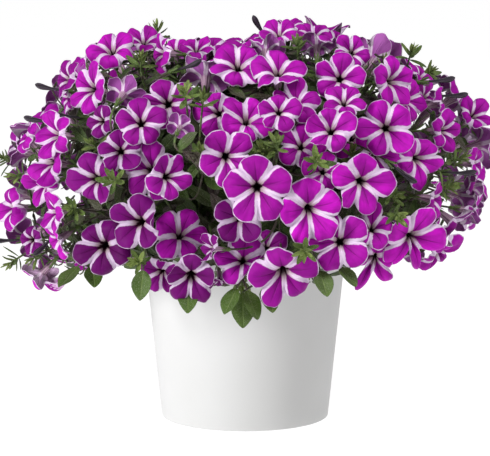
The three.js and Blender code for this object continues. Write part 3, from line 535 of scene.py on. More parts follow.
class Shape:
    """Closed skins that become one mesh: points in millimetres, faces, and values for the material."""

    def __init__(self):
        self.points, self.quads, self.triangles, self.flat, self.tone = [], [], [], [], []
        self.count = 0

    def skin(self, rings, flat, tone):
        """Adds a closed skin over rings of points (rows, columns, 3), with a cap at each end."""
        rows, columns = rings.shape[:2]
        points = np.concatenate([rings.reshape(-1, 3), rings[[0, -1]].mean(1)])
        flat = np.concatenate([flat.reshape(-1, 3), flat[[0, -1]].mean(1)])
        index = np.arange(rows * columns).reshape(rows, columns)
        after = np.roll(index, -1, axis=1)
        quads = np.stack([index[:-1], after[:-1], after[1:], index[1:]], -1).reshape(-1, 4)
        low, high = rows * columns, rows * columns + 1
        start = np.stack([np.full(columns, low), after[0], index[0]], -1)
        end = np.stack([np.full(columns, high), index[-1], after[-1]], -1)
        triangles = np.concatenate([start, end])
        if signed_volume(points, quads, triangles) < 0:
            quads, triangles = quads[:, ::-1], triangles[:, ::-1]
        self.points.append(points)
        self.flat.append(flat)
        self.tone.append(np.full(len(points), tone))
        self.quads.append(quads + self.count)
        self.triangles.append(triangles + self.count)
        self.count += len(points)

    def make(self, name, material, slot, nodes):
        """Makes the mesh object, which stands for its CAD nodes."""
        mesh = bpy.data.meshes.new(name)
        points = np.concatenate(self.points) / 1000
        faces = np.concatenate(self.quads).tolist() + np.concatenate(self.triangles).tolist()
        mesh.from_pydata(points.tolist(), [], faces)
        flat = mesh.attributes.new("flat", "FLOAT_VECTOR", "POINT")
        flat.data.foreach_set("vector", np.concatenate(self.flat).ravel())
        tone = mesh.attributes.new("tone", "FLOAT", "POINT")
        tone.data.foreach_set("value", np.concatenate(self.tone))
        mesh.shade_smooth()
        mesh.materials.append(material)
        piece = bpy.data.objects.new(name, mesh)
        bpy.context.scene.collection.objects.link(piece)
        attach(piece, "root")
        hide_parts(*nodes)
        return piece


def signed_volume(points, quads, triangles):
    corners = np.concatenate([quads[:, :3], quads[:, [0, 2, 3]], triangles])
    a, b, c = points[corners[:, 0]], points[corners[:, 1]], points[corners[:, 2]]
    return np.einsum("ij,ij->", a - points[0], np.cross(b - points[0], c - points[0]))


def tube(shape, path, radii, sides, tone, kind=0.0):
    """A round tube along a path of points."""
    path = np.asarray(path)
    along = np.gradient(path, axis=0)
    across = level_across(unit(along[0]))
    angles = circle(sides)
    rings = []
    for middle, way, radius in zip(path, along, radii):
        way = unit(way)
        across = unit(across - way * (across @ way))
        side = np.cross(way, across)
        rings.append(middle + radius * (np.outer(np.cos(angles), across) + np.outer(np.sin(angles), side)))
    flat = np.zeros((len(path), sides, 3))
    flat[..., 0] = np.linspace(0, 1, len(path))[:, None]
    flat[..., 1] = 0.5
    flat[..., 2] = kind
    shape.skin(np.array(rings), flat, tone)


# ---------- Leaves ----------

OVATE_ROWS = np.array([0.015, 0.08, 0.18, 0.3, 0.44, 0.58, 0.72, 0.84, 0.93, 0.985])
NARROW_ROWS = np.array([0.02, 0.16, 0.36, 0.56, 0.76, 0.92, 0.985])
TOP_COLUMNS = np.array([-1, -0.92, -0.5, -0.07, 0, 0.07, 0.5, 0.92, 1])
NARROW_COLUMNS = np.array([-1, -0.85, 0, 0.85, 1])


def ovate(along):
    """A petunia leaf's half width, as a share of the most: broad, with a blunt tip."""
    return np.sin(np.pi * along**0.86) ** 0.78


def spatulate(along):
    """A young leaf's half width: narrow at its base and widest past its middle."""
    return along**0.7 * (1 - along) ** 0.62 * 2.15


def leaf(shape, base, axes, length, width, tone, fold=1.6, bend=0.25, thick=0.5, wave=0.0, narrow=False):
    """A closed leaf from its base along the x axis, bent down and folded along its midrib."""
    rows, top = (NARROW_ROWS, NARROW_COLUMNS) if narrow else (OVATE_ROWS, TOP_COLUMNS)
    share = (spatulate if narrow else ovate)(rows)[:, None]
    columns = np.concatenate([top, top[-2:0:-1]])
    under = np.concatenate([np.zeros(len(top)), np.ones(len(top) - 2)])
    a = rows[:, None]
    b = np.broadcast_to(columns, (len(rows), len(columns)))
    z = -bend * length * a * a - fold * share * (1 - np.abs(b)) ** 1.3
    z = z + wave * np.sin(9 * a + 2 * tone * 9 + np.sign(b)) * b * b - thick * under * (1 - b * b) * share
    places = np.stack([a * length + 0 * b, 0.5 * width * share * b, z], -1)
    flat = np.stack([a + 0 * b, b, under + 0 * b], -1)
    shape.skin(base + places @ axes, flat, tone)


def clear_of(blooms, points, before=70):
    """Whether points are inside the plant's outline, and neither cross a bloom nor stand in front of one."""
    if not are_under_skyline(points, 0) or not are_above_hem(points):
        return False
    for bloom in blooms:
        if np.linalg.norm(points.mean(0) - bloom.centre) <= bloom.radius + before:
            over, _, behind = bloom.sides(points, CLEARANCE)
            if np.any(over & ~behind):
                return False
    return True


# Points of a leaf that stand for all of it, as shares of its length and width.
LEAF_TEST = np.array([
    (0.25, 0.3), (0.25, -0.3), (0.5, 0.5), (0.5, -0.5), (0.75, 0.4), (0.75, -0.4), (1, 0), (0.6, 0),
])


def leaf_points(base, axes, length, width, bend):
    a, b = LEAF_TEST[:, 0], LEAF_TEST[:, 1]
    return base + np.stack([a * length, b * width, -bend * length * a * a], -1) @ axes


# ---------- Blooms ----------

BLOOM_COLUMNS = 75
# The limb from the throat to the rim: how far out, as a share of the rim, and how far behind it.
LIMB = np.array([
    (0.12, 11.0), (0.15, 9.2), (0.19, 7.6), (0.25, 6.0), (0.33, 4.6), (0.43, 3.4), (0.54, 2.4), (0.65, 1.6),
    (0.76, 0.9), (0.86, 0.4), (0.93, 0.12), (0.97, 0.02), (0.99, 0.0),
])
BACK = LIMB[-2:2:-1]
# The throat inside and the tube outside, from the end of the tube up: radius and depth.
THROAT = np.array([(0.7, 25), (1.5, 21), (2.0, 17), (2.4, 14), (2.7, 12.2)])
COROLLA = np.array([(5.0, 9.4), (4.4, 12), (3.9, 16), (3.4, 20), (2.8, 25), (2.1, 29.5), (1.4, 32)])


def bloom_tone(number, random):
    """How deep a bloom's purple is, from pale at 0 to deep at 1: partly the bloom's own colour, partly
    painted shade.
    """
    vary = 0.14 * random.rand()
    if number < len(DEPTHS_AND_SHADES):
        return DEPTHS_AND_SHADES[number] / 100
    for blooms, depth in ((PALE_BLOOMS, 0.0), (DEEP_BLOOMS, 0.62), (DEEPEST_BLOOMS, 0.86)):
        if number in blooms:
            return depth + vary
    return (0.28 if number < len(SEEN_BLOOMS) else 0.2 + 0.4 * random.rand()) + vary


def bloom_form(number, random):
    """A bloom's own shape: each stripe's shift, each lobe's length and bend, and the rim at each stripe."""
    lengths = 1 + 0.1 * (random.rand(LOBES) - 0.5)
    form = FORMS.get(number)
    if not form:
        shifts = 0.24 * (random.rand(LOBES) - 0.5)
        return shifts, lengths, np.zeros(LOBES), np.full(LOBES, 0.7)
    shifts, lengths = np.radians(form[0]), np.array(form[1]) / 100
    bends = np.radians(form[2]) if len(form) > 2 else np.zeros(LOBES)
    ribs = np.array(form[3]) / 100 if len(form) > 3 else np.full(LOBES, 0.7)
    return shifts, lengths, bends, ribs


def bloom_rings(bloom, random, curl, form):
    """A bloom's skin, from the bottom of its throat over the rim to the end of its tube, and its values."""
    shifts, lengths, bends, ribs = form
    turns = np.arange(BLOOM_COLUMNS) / BLOOM_COLUMNS
    phase = turns * LOBES % 1
    lobe = (turns * LOBES).astype(int) % LOBES
    nearest_rib = np.round(turns * LOBES).astype(int) % LOBES
    swell = np.sin(np.pi * phase)

    # How far out the rim is: even lobes, the notches at the ribs, and a small point on each lobe.
    notch = 1 - swell ** (0.6 + 4.4 * np.clip(0.7 - ribs[nearest_rib], 0, 0.3))
    tip = np.exp(-(((phase - 0.5) / 0.1) ** 2))
    reach = 1.05 * (lengths[lobe] * (1 - notch) + ribs[nearest_rib] * notch) + 0.03 * tip
    rim = bloom.radius * reach * (1 + 0.012 * np.sin(2 * np.pi * (turns * 13 + random.rand())))

    # How each lobe bends forward and leans to one side, and how the whole limb waves.
    cup = 0.5 * (random.rand() - 0.6)
    bend = (cup + curl * (random.rand(LOBES) - 0.65) + bends)[lobe] * swell**0.5
    lean = (1.5 * curl * (random.rand(LOBES) - 0.5))[lobe] * (phase - 0.5) * 2 * swell**0.3
    saddle = 2.6 * curl * random.rand() * np.cos(2 * 2 * np.pi * (turns + random.rand()))
    ruffle = 0.6 * np.sin(2 * np.pi * (turns * 9 + random.rand()))
    ruffle += 0.4 * np.sin(2 * np.pi * (turns * 17 + random.rand()))

    # The limb: puffed lobes, with a crease up each and the ribs sunk between them, and a rolled edge.
    shift = np.interp(turns * LOBES, np.arange(LOBES + 1), np.append(shifts, shifts[0]))
    angle = 2 * np.pi * turns + shift + bloom.stripe
    share, depth = LIMB[:, :1], LIMB[:, 1:] * bloom.size
    outer = np.clip(share - 0.4, 0, 1)
    swing = (bend + lean) * outer / 0.6
    radius = rim * (np.minimum(share, 0.4) + outer * np.cos(swing))
    puff = 8.5 * swell**0.7 * share**1.5 * (1 - share**3)
    puff = puff - 2.4 * tip * share * (1 - share) - 2.6 * notch * share**3
    rolled = 1.1 * share**12 + 1.6 * (1 - swell) ** 2 * share**4
    height = -depth + rim * outer * np.sin(swing)
    height = height + bloom.size * (puff - rolled + 1.7 * ruffle * share**4 + saddle * share**2)

    # The whole skin: up the throat, out over the limb, back behind it, and down the tube.
    ones = np.ones_like(turns)
    thick = 0.35 + 1.1 * (1 - BACK[:, :1]) ** 2
    back = slice(len(LIMB) - 2, 2, -1)
    tube_radius = COROLLA[:, :1] * (1 + 0.06 * np.cos(2 * np.pi * phase))
    throat, corolla = THROAT * bloom.size, COROLLA * bloom.size
    radii = np.concatenate([throat[:, :1] * ones, radius, radius[back], tube_radius * bloom.size])
    heights = [-throat[:, 1:] * ones, height, height[back] - thick, -corolla[:, 1:] * ones]
    inside = np.linspace(0.02, 0.11, len(THROAT))
    shares = np.concatenate([inside, LIMB[:, 0], BACK[:, 0], np.full(len(COROLLA), 0.2)])
    front = np.zeros(len(THROAT) + len(LIMB))
    sides = np.concatenate([front, np.ones(len(BACK)), np.linspace(1.2, 2.0, len(COROLLA))])
    local = np.stack([radii * np.sin(angle), radii * np.cos(angle), np.concatenate(heights)], -1)
    own = 2 * np.pi * turns
    flat = np.stack([np.outer(shares, np.sin(own)), np.outer(shares, np.cos(own)), np.outer(sides, ones)], -1)
    return bloom.centre + local @ bloom.axes, flat


def calyx(shape, end, way, size, random, tone):
    """Five narrow sepals round the end of a tube, and the cup that they grow from."""
    tube(shape, [end - 3 * way, end - way, end + 2.5 * way], [0.9, 2.0, 2.1 * size], 8, tone)
    spin = 2 * np.pi * random.rand()
    for angle in spin + circle(LOBES):
        out = spoke(way, angle)
        axes = axes_along(unit(way + out * between(random, 0.3, 0.55)), -out)
        leaf(shape, end + out * 1.3 * size, axes, 12.5 * size, 3.4 * size, tone, 0.3, -0.12, 0.4, narrow=True)


# ---------- Shoots, buds and small growth ----------

TUFT_LEAVES, LEAF_HAIRS = 14, 8


def tuft(shape, base, along, size, random):
    """A shoot tip: narrow young leaves up a short axis, the lowest ones longest and most spread."""
    axis = SHOOT["axis"]
    path = [base + along * s for s in (0, 6, axis, axis + 4 * size)]
    tube(shape, path, [0.9, 0.9, 0.8, 0.4], 6, 0.6, SHOOT_KIND)
    spin = 2 * np.pi * random.rand()
    for k in range(TUFT_LEAVES):
        share = k / (TUFT_LEAVES - 1)
        out = spoke(along, spin + k * GOLDEN_ANGLE + 0.5 * (random.rand() - 0.5))
        open_ = math.radians(74 - 60 * share + 24 * (random.rand() - 0.5))
        way = unit(along * math.cos(open_) + out * math.sin(open_))
        length = size * (16.5 - 8.5 * share) * (0.7 + 0.4 * random.rand())
        root = base + along * (axis - 8 + 11 * share * size)
        axes = axes_along(way, unit(along - way * (along @ way)))
        tone = 0.5 + 0.32 * share + 0.18 * random.rand()
        bend = -0.15 + 0.4 * random.rand()
        leaf(shape, root, axes, length, (0.38 - 0.08 * share) * length, tone, 0.9, bend, 0.4, narrow=True)
        for _ in range(LEAF_HAIRS):
            at = root + way * length * random.rand() + (random.rand(3) - 0.5) * 0.2 * length
            hair(shape, at, unit(way * 0.3 + along * random.rand() + (random.rand(3) - 0.5) * 1.6), 1.4)


def hair(shape, base, way, length):
    """A fine tapering hair."""
    side = level_across(way)
    across = np.cross(side, way)
    angles = circle(3)
    ring = np.outer(np.cos(angles), side) + np.outer(np.sin(angles), across)
    rings = np.array([base + 0.07 * ring, base + way * length + 0.012 * ring])
    shape.skin(rings, np.full(rings.shape, 0.5), 0.95)


BUD_ROWS = np.array([0.0, 0.08, 0.18, 0.3, 0.42, 0.54, 0.65, 0.75, 0.83, 0.9, 0.95, 0.985, 1.0])
BUD_RADII = np.array([1.1, 1.0, 0.95, 1.0, 1.15, 1.4, 1.85, 2.3, 2.5, 2.3, 1.8, 1.0, 0.4])


def closed_bud(shape, greens, base, along, random):
    """A closed bud: a furled tube that swells towards its blunt tip, with twisted ridges."""
    axes = axes_along(along, UP)
    angles = circle(20)
    a = BUD_ROWS[:, None]
    ridge = np.cos(LOBES * angles + 2.6 * a)
    radius = BUD_RADII[:, None] * (1 + 0.13 * ridge * soft_step(a, 0.05, 0.4))
    droop = -1.6 * np.sin(np.pi * a) * (0.3 + random.rand()) * a
    share = a + 0 * angles
    places = [share * BUD["length"], radius * np.cos(angles), radius * np.sin(angles) + droop]
    flat = np.stack([share, ridge, 0 * ridge], -1)
    shape.skin(base + np.stack(places, -1) @ axes, flat, random.rand())
    calyx(greens, base, along, 0.8, random, 0.5)


# ---------- Materials ----------


class Value:
    """A number, vector or colour in a material's node tree, which adds nodes as it is worked with."""

    def __init__(self, look, socket):
        self.look, self.socket = look, socket

    def __add__(self, other):
        return self.look.math("ADD", self, other)

    def __sub__(self, other):
        return self.look.math("SUBTRACT", self, other)

    def __rsub__(self, other):
        return self.look.math("SUBTRACT", other, self)

    def __mul__(self, other):
        return self.look.math("MULTIPLY", self, other)

    def __abs__(self):
        return self.look.math("ABSOLUTE", self)

    def step(self, low, high, start=0.0, end=1.0):
        """Goes smoothly from one number to another as the value goes from low to high."""
        inputs = {"Value": self, "From Min": low, "From Max": high, "To Min": start, "To Max": end}
        return self.look.node("ShaderNodeMapRange", inputs, interpolation_type="SMOOTHSTEP")

    def blend(self, share, *colour):
        """This colour with a share of another one, given in eight-bit sRGB numbers."""
        return self.look.mix(share, self, rgb(*colour))


class Look:
    """A node-based material in the making, ending in one Principled shader."""

    def __init__(self, name, **constants):
        self.material = bpy.data.materials.new(name)
        self.material.use_nodes = True
        self.tree = self.material.node_tree
        self.shader = self.tree.nodes["Principled BSDF"]
        for socket, value in constants.items():
            self.set(socket.replace("_", " "), value)

    def node(self, kind, inputs, output=0, **settings):
        """Adds a node, with its inputs linked or set, and gives one of its outputs."""
        made = self.tree.nodes.new(kind)
        for name, value in settings.items():
            setattr(made, name, value)
        for key, value in inputs.items():
            self.connect(made.inputs[key], value)
        return Value(self, made.outputs[output])

    def connect(self, socket, value):
        if isinstance(value, Value):
            self.tree.links.new(value.socket, socket)
        else:
            socket.default_value = value

    def set(self, socket, value):
        self.connect(self.shader.inputs[socket], value)

    def math(self, operation, *values):
        return self.node("ShaderNodeMath", dict(enumerate(values)), operation=operation)

    def mix(self, share, a, b):
        inputs = {0: share, 6: a, 7: b}
        return self.node("ShaderNodeMix", inputs, 2, data_type="RGBA", clamp_factor=True)

    def noise(self, vector, scale, detail=3.0, roughness=0.55):
        inputs = {"Vector": vector, "Scale": scale, "Detail": detail, "Roughness": roughness}
        return self.node("ShaderNodeTexNoise", inputs)

    def flat(self):
        return self.node("ShaderNodeAttribute", {}, "Vector", attribute_name="flat")

    def flat_parts(self):
        flat = self.flat()
        return [self.node("ShaderNodeSeparateXYZ", {0: flat}, axis) for axis in range(3)]

    def tone(self):
        return self.node("ShaderNodeAttribute", {}, "Fac", attribute_name="tone")

    def place(self):
        return self.node("ShaderNodeTexCoord", {}, "Object")

    def bump(self, height, distance, strength):
        inputs = {"Height": height, "Distance": distance, "Strength": strength}
        self.set("Normal", self.node("ShaderNodeBump", inputs))


def rgb(red, green, blue):
    """A linear colour from eight-bit sRGB numbers."""
    def linear(value):
        value /= 255
        return value / 12.92 if value <= 0.04045 else ((value + 0.055) / 1.055) ** 2.4

    return (linear(red), linear(green), linear(blue), 1.0)


def petal_look():
    look = Look("petal", Roughness=0.6, Sheen_Weight=0.02, Sheen_Roughness=0.4, Specular_IOR_Level=0.12)
    x, y, side = look.flat_parts()
    tone = look.tone()
    own = look.node("ShaderNodeCombineXYZ", {"Z": tone * 40.0})
    moved = look.node("ShaderNodeVectorMath", {0: look.flat(), 1: own}, operation="ADD")
    rough, fine = look.noise(moved, 5.0) - 0.5, look.noise(moved, 22.0) - 0.5
    out = look.math("SQRT", x * x + y * y)
    turn = look.math("ARCTAN2", x, y) * (LOBES / (2 * math.pi))
    middle = abs(look.math("FRACT", turn + 10.0) - 0.5)
    width = out * (2 * math.pi / LOBES)
    from_stripe, from_vein = (0.5 - middle) * width, middle * width

    # The white stripes widen outwards and run into the white margin.
    half = out * 0.05 + 0.068 + out.step(0.74, 1.0, 0.0, 0.08) + rough * 0.07
    stripe = (from_stripe - half).step(-0.014, 0.014, 1.0, 0.0)
    white = look.math("MAXIMUM", stripe, (out + rough * 0.06).step(0.952, 0.976))

    # Purple, deeper towards the throat, partly its own colour and partly painted shade in the funnel, with
    # fine streaks along the lobes and a dark vein in each.
    streaks = look.node("ShaderNodeCombineXYZ", {"X": turn * 9.0, "Y": out * 1.2, "Z": tone * 30.0})
    streak = look.noise(streaks, 1.0, 4.0)
    # The tone sets how deep the purple is; on blooms that lie in shade its deep end is painted shade.
    purple = look.mix(tone.step(-0.3, 1.4), rgb(202, 20, 194), rgb(72, 2, 70))
    purple = purple.blend(out.step(0.15, 0.7, 0.5, 0.0), 84, 0, 76)
    purple = purple.blend(streak.step(0.4, 0.75, 0.0, 0.3), 108, 0, 104)
    purple = purple.blend(look.noise(moved, 1.7, 2.0).step(0.4, 0.68, 0.0, 0.5), 112, 0, 112)
    vein = from_vein.step(0.004, 0.016, 1.0, 0.0) * out.step(0.45, 0.85, 0.5, 0.0)
    purple = purple.blend(vein, 80, 0, 74)
    pale = look.mix(streak.step(0.3, 0.8), rgb(232, 212, 236), rgb(192, 166, 198))
    # Deeper tones grey the stripes as well, painted shade on the shaded blooms.
    pale = pale.blend(tone.step(0.4, 1.0, 0.0, 0.5), 176, 156, 180)
    # The stripes turn tan-grey towards the throat: partly their own greenish tint, partly painted shade in
    # the funnel.
    pale = pale.blend(out.step(0.16, 0.42, 0.6, 0.0), 160, 136, 120)
    # The throat's dark patch: partly its own dark colour, partly painted shade down in the deep throat.
    dark_throat_and_shade = out + middle * 0.12 + rough * 0.08 + (streak - 0.5) * 0.2 - tone * 0.06
    front = look.mix(white, purple, pale).blend(dark_throat_and_shade.step(0.1, 0.18, 1.0, 0.0), 54, 16, 34)

    # The backs are paler, and the tube is greenish with dark veins.
    # The backs also darken with the tone, partly painted shade.
    back = look.mix(tone.step(0.1, 0.26), rgb(226, 188, 226), rgb(170, 92, 172))
    back = back.blend(tone.step(0.5, 0.9), 120, 44, 122).blend(white, 222, 202, 222)
    back = back.blend(streak.step(0.4, 0.7, 0.0, 0.35), 128, 56, 130)
    neck = look.mix(streak.step(0.42, 0.62), rgb(190, 160, 178), rgb(116, 70, 108))
    neck = neck.blend(side.step(1.6, 2.0), 112, 104, 78)
    behind = look.mix(side.step(1.0, 1.25), back, neck)
    look.set("Base Color", look.mix(side.step(0.3, 0.7), front, behind))
    groove = from_vein.step(0.0, 0.03, -1.0, 0.0) * out.step(0.5, 0.95, 1.0, 0.0)
    look.bump(streak * 0.8 + fine * 0.35 + groove, 0.0005, 0.8)
    return look.material


def leaf_look():
    look = Look("leaf", Roughness=0.55, Sheen_Weight=0.08, Sheen_Roughness=0.4, Specular_IOR_Level=0.3)
    along, across, side = look.flat_parts()
    tone, place = look.tone(), look.place()
    blotch, fuzz = look.noise(place, 60.0), look.noise(place, 1400.0, 2.0)
    off = abs(across)
    wave = abs(look.math("FRACT", along * 7.0 - off * 2.0 + 4.0) - 0.5)
    side_vein = wave.step(0.0, 0.07, 1.0, 0.0) * off.step(0.1, 0.95, 1.0, 0.0)
    veins = look.math("MAXIMUM", off.step(0.03, 0.1, 1.0, 0.0), side_vein)
    # Low tones give the dark green of the leaves inside the mound, which is painted shade; high tones give
    # the light green of young shoots.
    green = look.mix(tone.step(0.0, 0.5), rgb(38, 54, 16), rgb(70, 98, 26))
    green = green.blend(tone.step(0.5, 0.95), 146, 164, 84)
    green = green.blend(blotch.step(0.35, 0.7, 0.0, 0.5), 48, 66, 26)
    green = green.blend(veins * 0.35, 130, 150, 84)
    green = green.blend(side.step(0.5, 1.0, 0.0, 0.3), 120, 140, 90)

    # Stems and inner leaves have dusky purple patches, which are painted shade for the dark inside of the
    # mound.
    stem_shade = side.step(1.4, 1.7) * blotch.step(0.38, 0.52, 0.0, 0.85)
    # Painted shade: purple-brown patches on the darker leaves inside the mound.
    inner = tone.step(0.2, 0.45, 1.0, 0.0) * look.noise(place, 24.0).step(0.46, 0.56, 0.0, 0.7)
    green = green.blend(look.math("MAXIMUM", stem_shade, inner), 66, 40, 52)
    look.set("Base Color", green.blend(fuzz.step(0.5, 0.75, 0.0, 0.4), 164, 168, 146))
    look.bump(veins * -0.7 + (fuzz + blotch) * 0.4, 0.0006, 0.8)
    return look.material


def bud_look():
    look = Look("bud", Roughness=0.6, Sheen_Weight=0.3, Sheen_Roughness=0.4)
    along, ridge, _ = look.flat_parts()
    fuzz = look.noise(look.place(), 900.0)
    dark = look.mix(ridge.step(-0.6, 0.9), rgb(18, 10, 22), rgb(50, 33, 54))
    dark = dark.blend(along.step(0.0, 0.35, 0.7, 0.0), 86, 84, 60)
    look.set("Base Color", dark.blend(fuzz.step(0.5, 0.75, 0.0, 0.3), 96, 82, 98))
    look.bump(ridge + fuzz, 0.0004, 0.7)
    return look.material


def pot_look():
    look = Look("pot", Specular_IOR_Level=0.4)
    broad = look.noise(look.place(), 7.0)
    look.set("Base Color", look.mix(broad.step(0.3, 0.7), rgb(219, 219, 219), rgb(214, 214, 213)))
    look.set("Roughness", broad.step(0.3, 0.7, 0.5, 0.58))
    look.bump(look.noise(look.place(), 650.0, 2.0), 0.00015, 0.4)
    return look.material


def soil_look():
    look = Look("soil", Roughness=0.95, Specular_IOR_Level=0.2)
    coarse = look.noise(look.place(), 120.0, 6.0, 0.7)
    look.set("Base Color", look.mix(coarse.step(0.35, 0.65), rgb(34, 24, 18), rgb(82, 62, 46)))
    look.bump(coarse, 0.0015, 1.0)
    return look.material


# ---------- Pot and soil ----------


def pot_radius(z):
    return POT["foot"] + (POT["rim"] - POT["foot"]) * z / POT["height"]


def rounded(corner, before, after, radius):
    """Points that round a corner of a profile."""
    corner, before, after = (np.array(p, float) for p in (corner, before, after))
    a, b = corner + unit(before - corner) * radius, corner + unit(after - corner) * radius
    return [tuple(p) for p in arc(a, corner, b, 5)]


def make_pot(material):
    height, rim, foot, wall, floor = (POT[k] for k in ("height", "rim", "foot", "wall", "floor"))
    inner, base = rim - wall, pot_radius(floor) - wall
    profile = [(POT["hub"], 0), (30, 0), (60, 0)]
    profile += rounded((foot, 0), (0, 0), (rim, height), POT_ROUNDS["edge"])
    # Rings up the wall keep its shading even.
    profile += [(pot_radius(z), z) for z in range(8, 150, 8)]
    profile += rounded((rim, height), (foot, 0), (0, height), POT_ROUNDS["edge"])
    profile += rounded((inner, height), (rim, height), (base, floor), POT_ROUNDS["lip"])
    profile += [(pot_radius(z) - wall, z) for z in range(144, 10, -12)]
    profile += rounded((base, floor), (inner, height), (0, floor), POT_ROUNDS["cove"])
    profile += [(60, floor), (POT["hub"], floor)]
    angles = circle(POT["sides"])
    rings = np.array([[(r * math.cos(a), r * math.sin(a), z) for a in angles] for r, z in profile])
    shape = Shape()
    shape.skin(rings, np.zeros(rings.shape), 0.5)
    pot = shape.make("pot_shell", material, "pot", ["pot"])
    ring, radius, depth = DRAIN["ring"] / 1000, DRAIN["radius"] / 1000, 3 * floor / 1000
    for k in range(DRAIN["count"]):
        angle = 2 * math.pi * (k + 0.5) / DRAIN["count"]
        place = (ring * math.cos(angle), ring * math.sin(angle), floor / 2000)
        bpy.ops.mesh.primitive_cylinder_add(vertices=32, radius=radius, depth=depth, location=place)
        peg = bpy.context.object
        cut = pot.modifiers.new("drain", "BOOLEAN")
        cut.operation, cut.object, cut.solver = "DIFFERENCE", peg, "EXACT"
        bpy.context.view_layer.objects.active = pot
        bpy.ops.object.modifier_apply(modifier="drain")
        bpy.data.objects.remove(peg)


def make_soil(material):
    """Crumbly potting soil: a low dome with a rough surface and loose crumbs."""
    random = np.random.RandomState(77)
    shape = Shape()
    dome, count, columns = SOIL["crown_z"] - SOIL["rim_z"], SOIL["rings"], SOIL["columns"]
    sides = [(pot_radius(z) - SOIL["play"], z) for z in (POT["floor"] + 0.5, 70, 132)]
    edge = pot_radius(SOIL["rim_z"] - 1) - SOIL["play"]
    top = zip(np.linspace(edge, 0.5, count), SOIL["rim_z"] + dome * np.linspace(0, 1, count))
    angles = circle(columns)
    rings = np.array([[r * np.cos(angles), r * np.sin(angles), z + 0 * angles] for r, z in [*sides, *top]])
    rings = rings.transpose(0, 2, 1)
    rough = random.rand(len(rings), columns) * SOIL["rough"]
    rough[:len(sides) + 1] = 0
    rings[..., 2] -= rough
    shape.skin(rings, np.zeros(rings.shape), 0.5)
    turns = circle(7)
    rows = [(0.35, -0.8), (0.9, -0.4), (1.0, 0.1), (0.7, 0.6), (0.25, 0.85)]
    ball = np.array([[(r * math.cos(a), r * math.sin(a), h) for a in turns] for r, h in rows])
    for _ in range(CRUMBS["count"]):
        out, turn = CRUMBS["reach"] * math.sqrt(random.rand()), 2 * math.pi * random.rand()
        size = CRUMBS["size"] + CRUMBS["spread"] * random.rand() ** 2
        middle = np.array([out * math.cos(turn), out * math.sin(turn), SOIL["crown_z"] - dome * out / 88])
        crumb = ball * size * (0.75 + 0.5 * random.rand(*ball.shape))
        shape.skin(middle + crumb, np.zeros(crumb.shape), 0.5)
    shape.make("potting_soil", material, "soil", ["soil"])


# ---------- The plant ----------


def growth_places():
    """Where shoots may grow: where the photograph shows them, and spread evenly over the mound."""
    for u, v, turn, lift in SEEN_SHOOTS:
        along = heading(turn, lift)
        point, direction = seen_point(u, v)
        yield point - along * SHOOT["axis"], along, -direction
    for direction in lattice(HIDDEN_SHOOTS["count"], HIDDEN["lowest"], HIDDEN_SHOOTS["offset"]):
        surface = mound_point(direction)
        along = mound_normal(surface)
        yield surface - along * HIDDEN_SHOOTS["sunk"] * SHOOT["axis"], along, along


def raise_over_hem(bloom):
    for _ in range(HIDDEN["raises"]):
        if are_above_hem(bloom.centre + bloom.radius * RIM @ bloom.axes):
            break
        bloom.centre = bloom.centre + UP * SKY["step"]


def under_skyline(base, along, size):
    """A shoot's base, lowered until its tip is under the plant's top outline."""
    tip = along * (SHOOT["axis"] + SHOOT["leaves"] * size)
    for _ in range(SKY["steps"]):
        if are_under_skyline(base + tip, -SKY["room"]):
            break
        base = base - UP * SKY["step"]
    return base


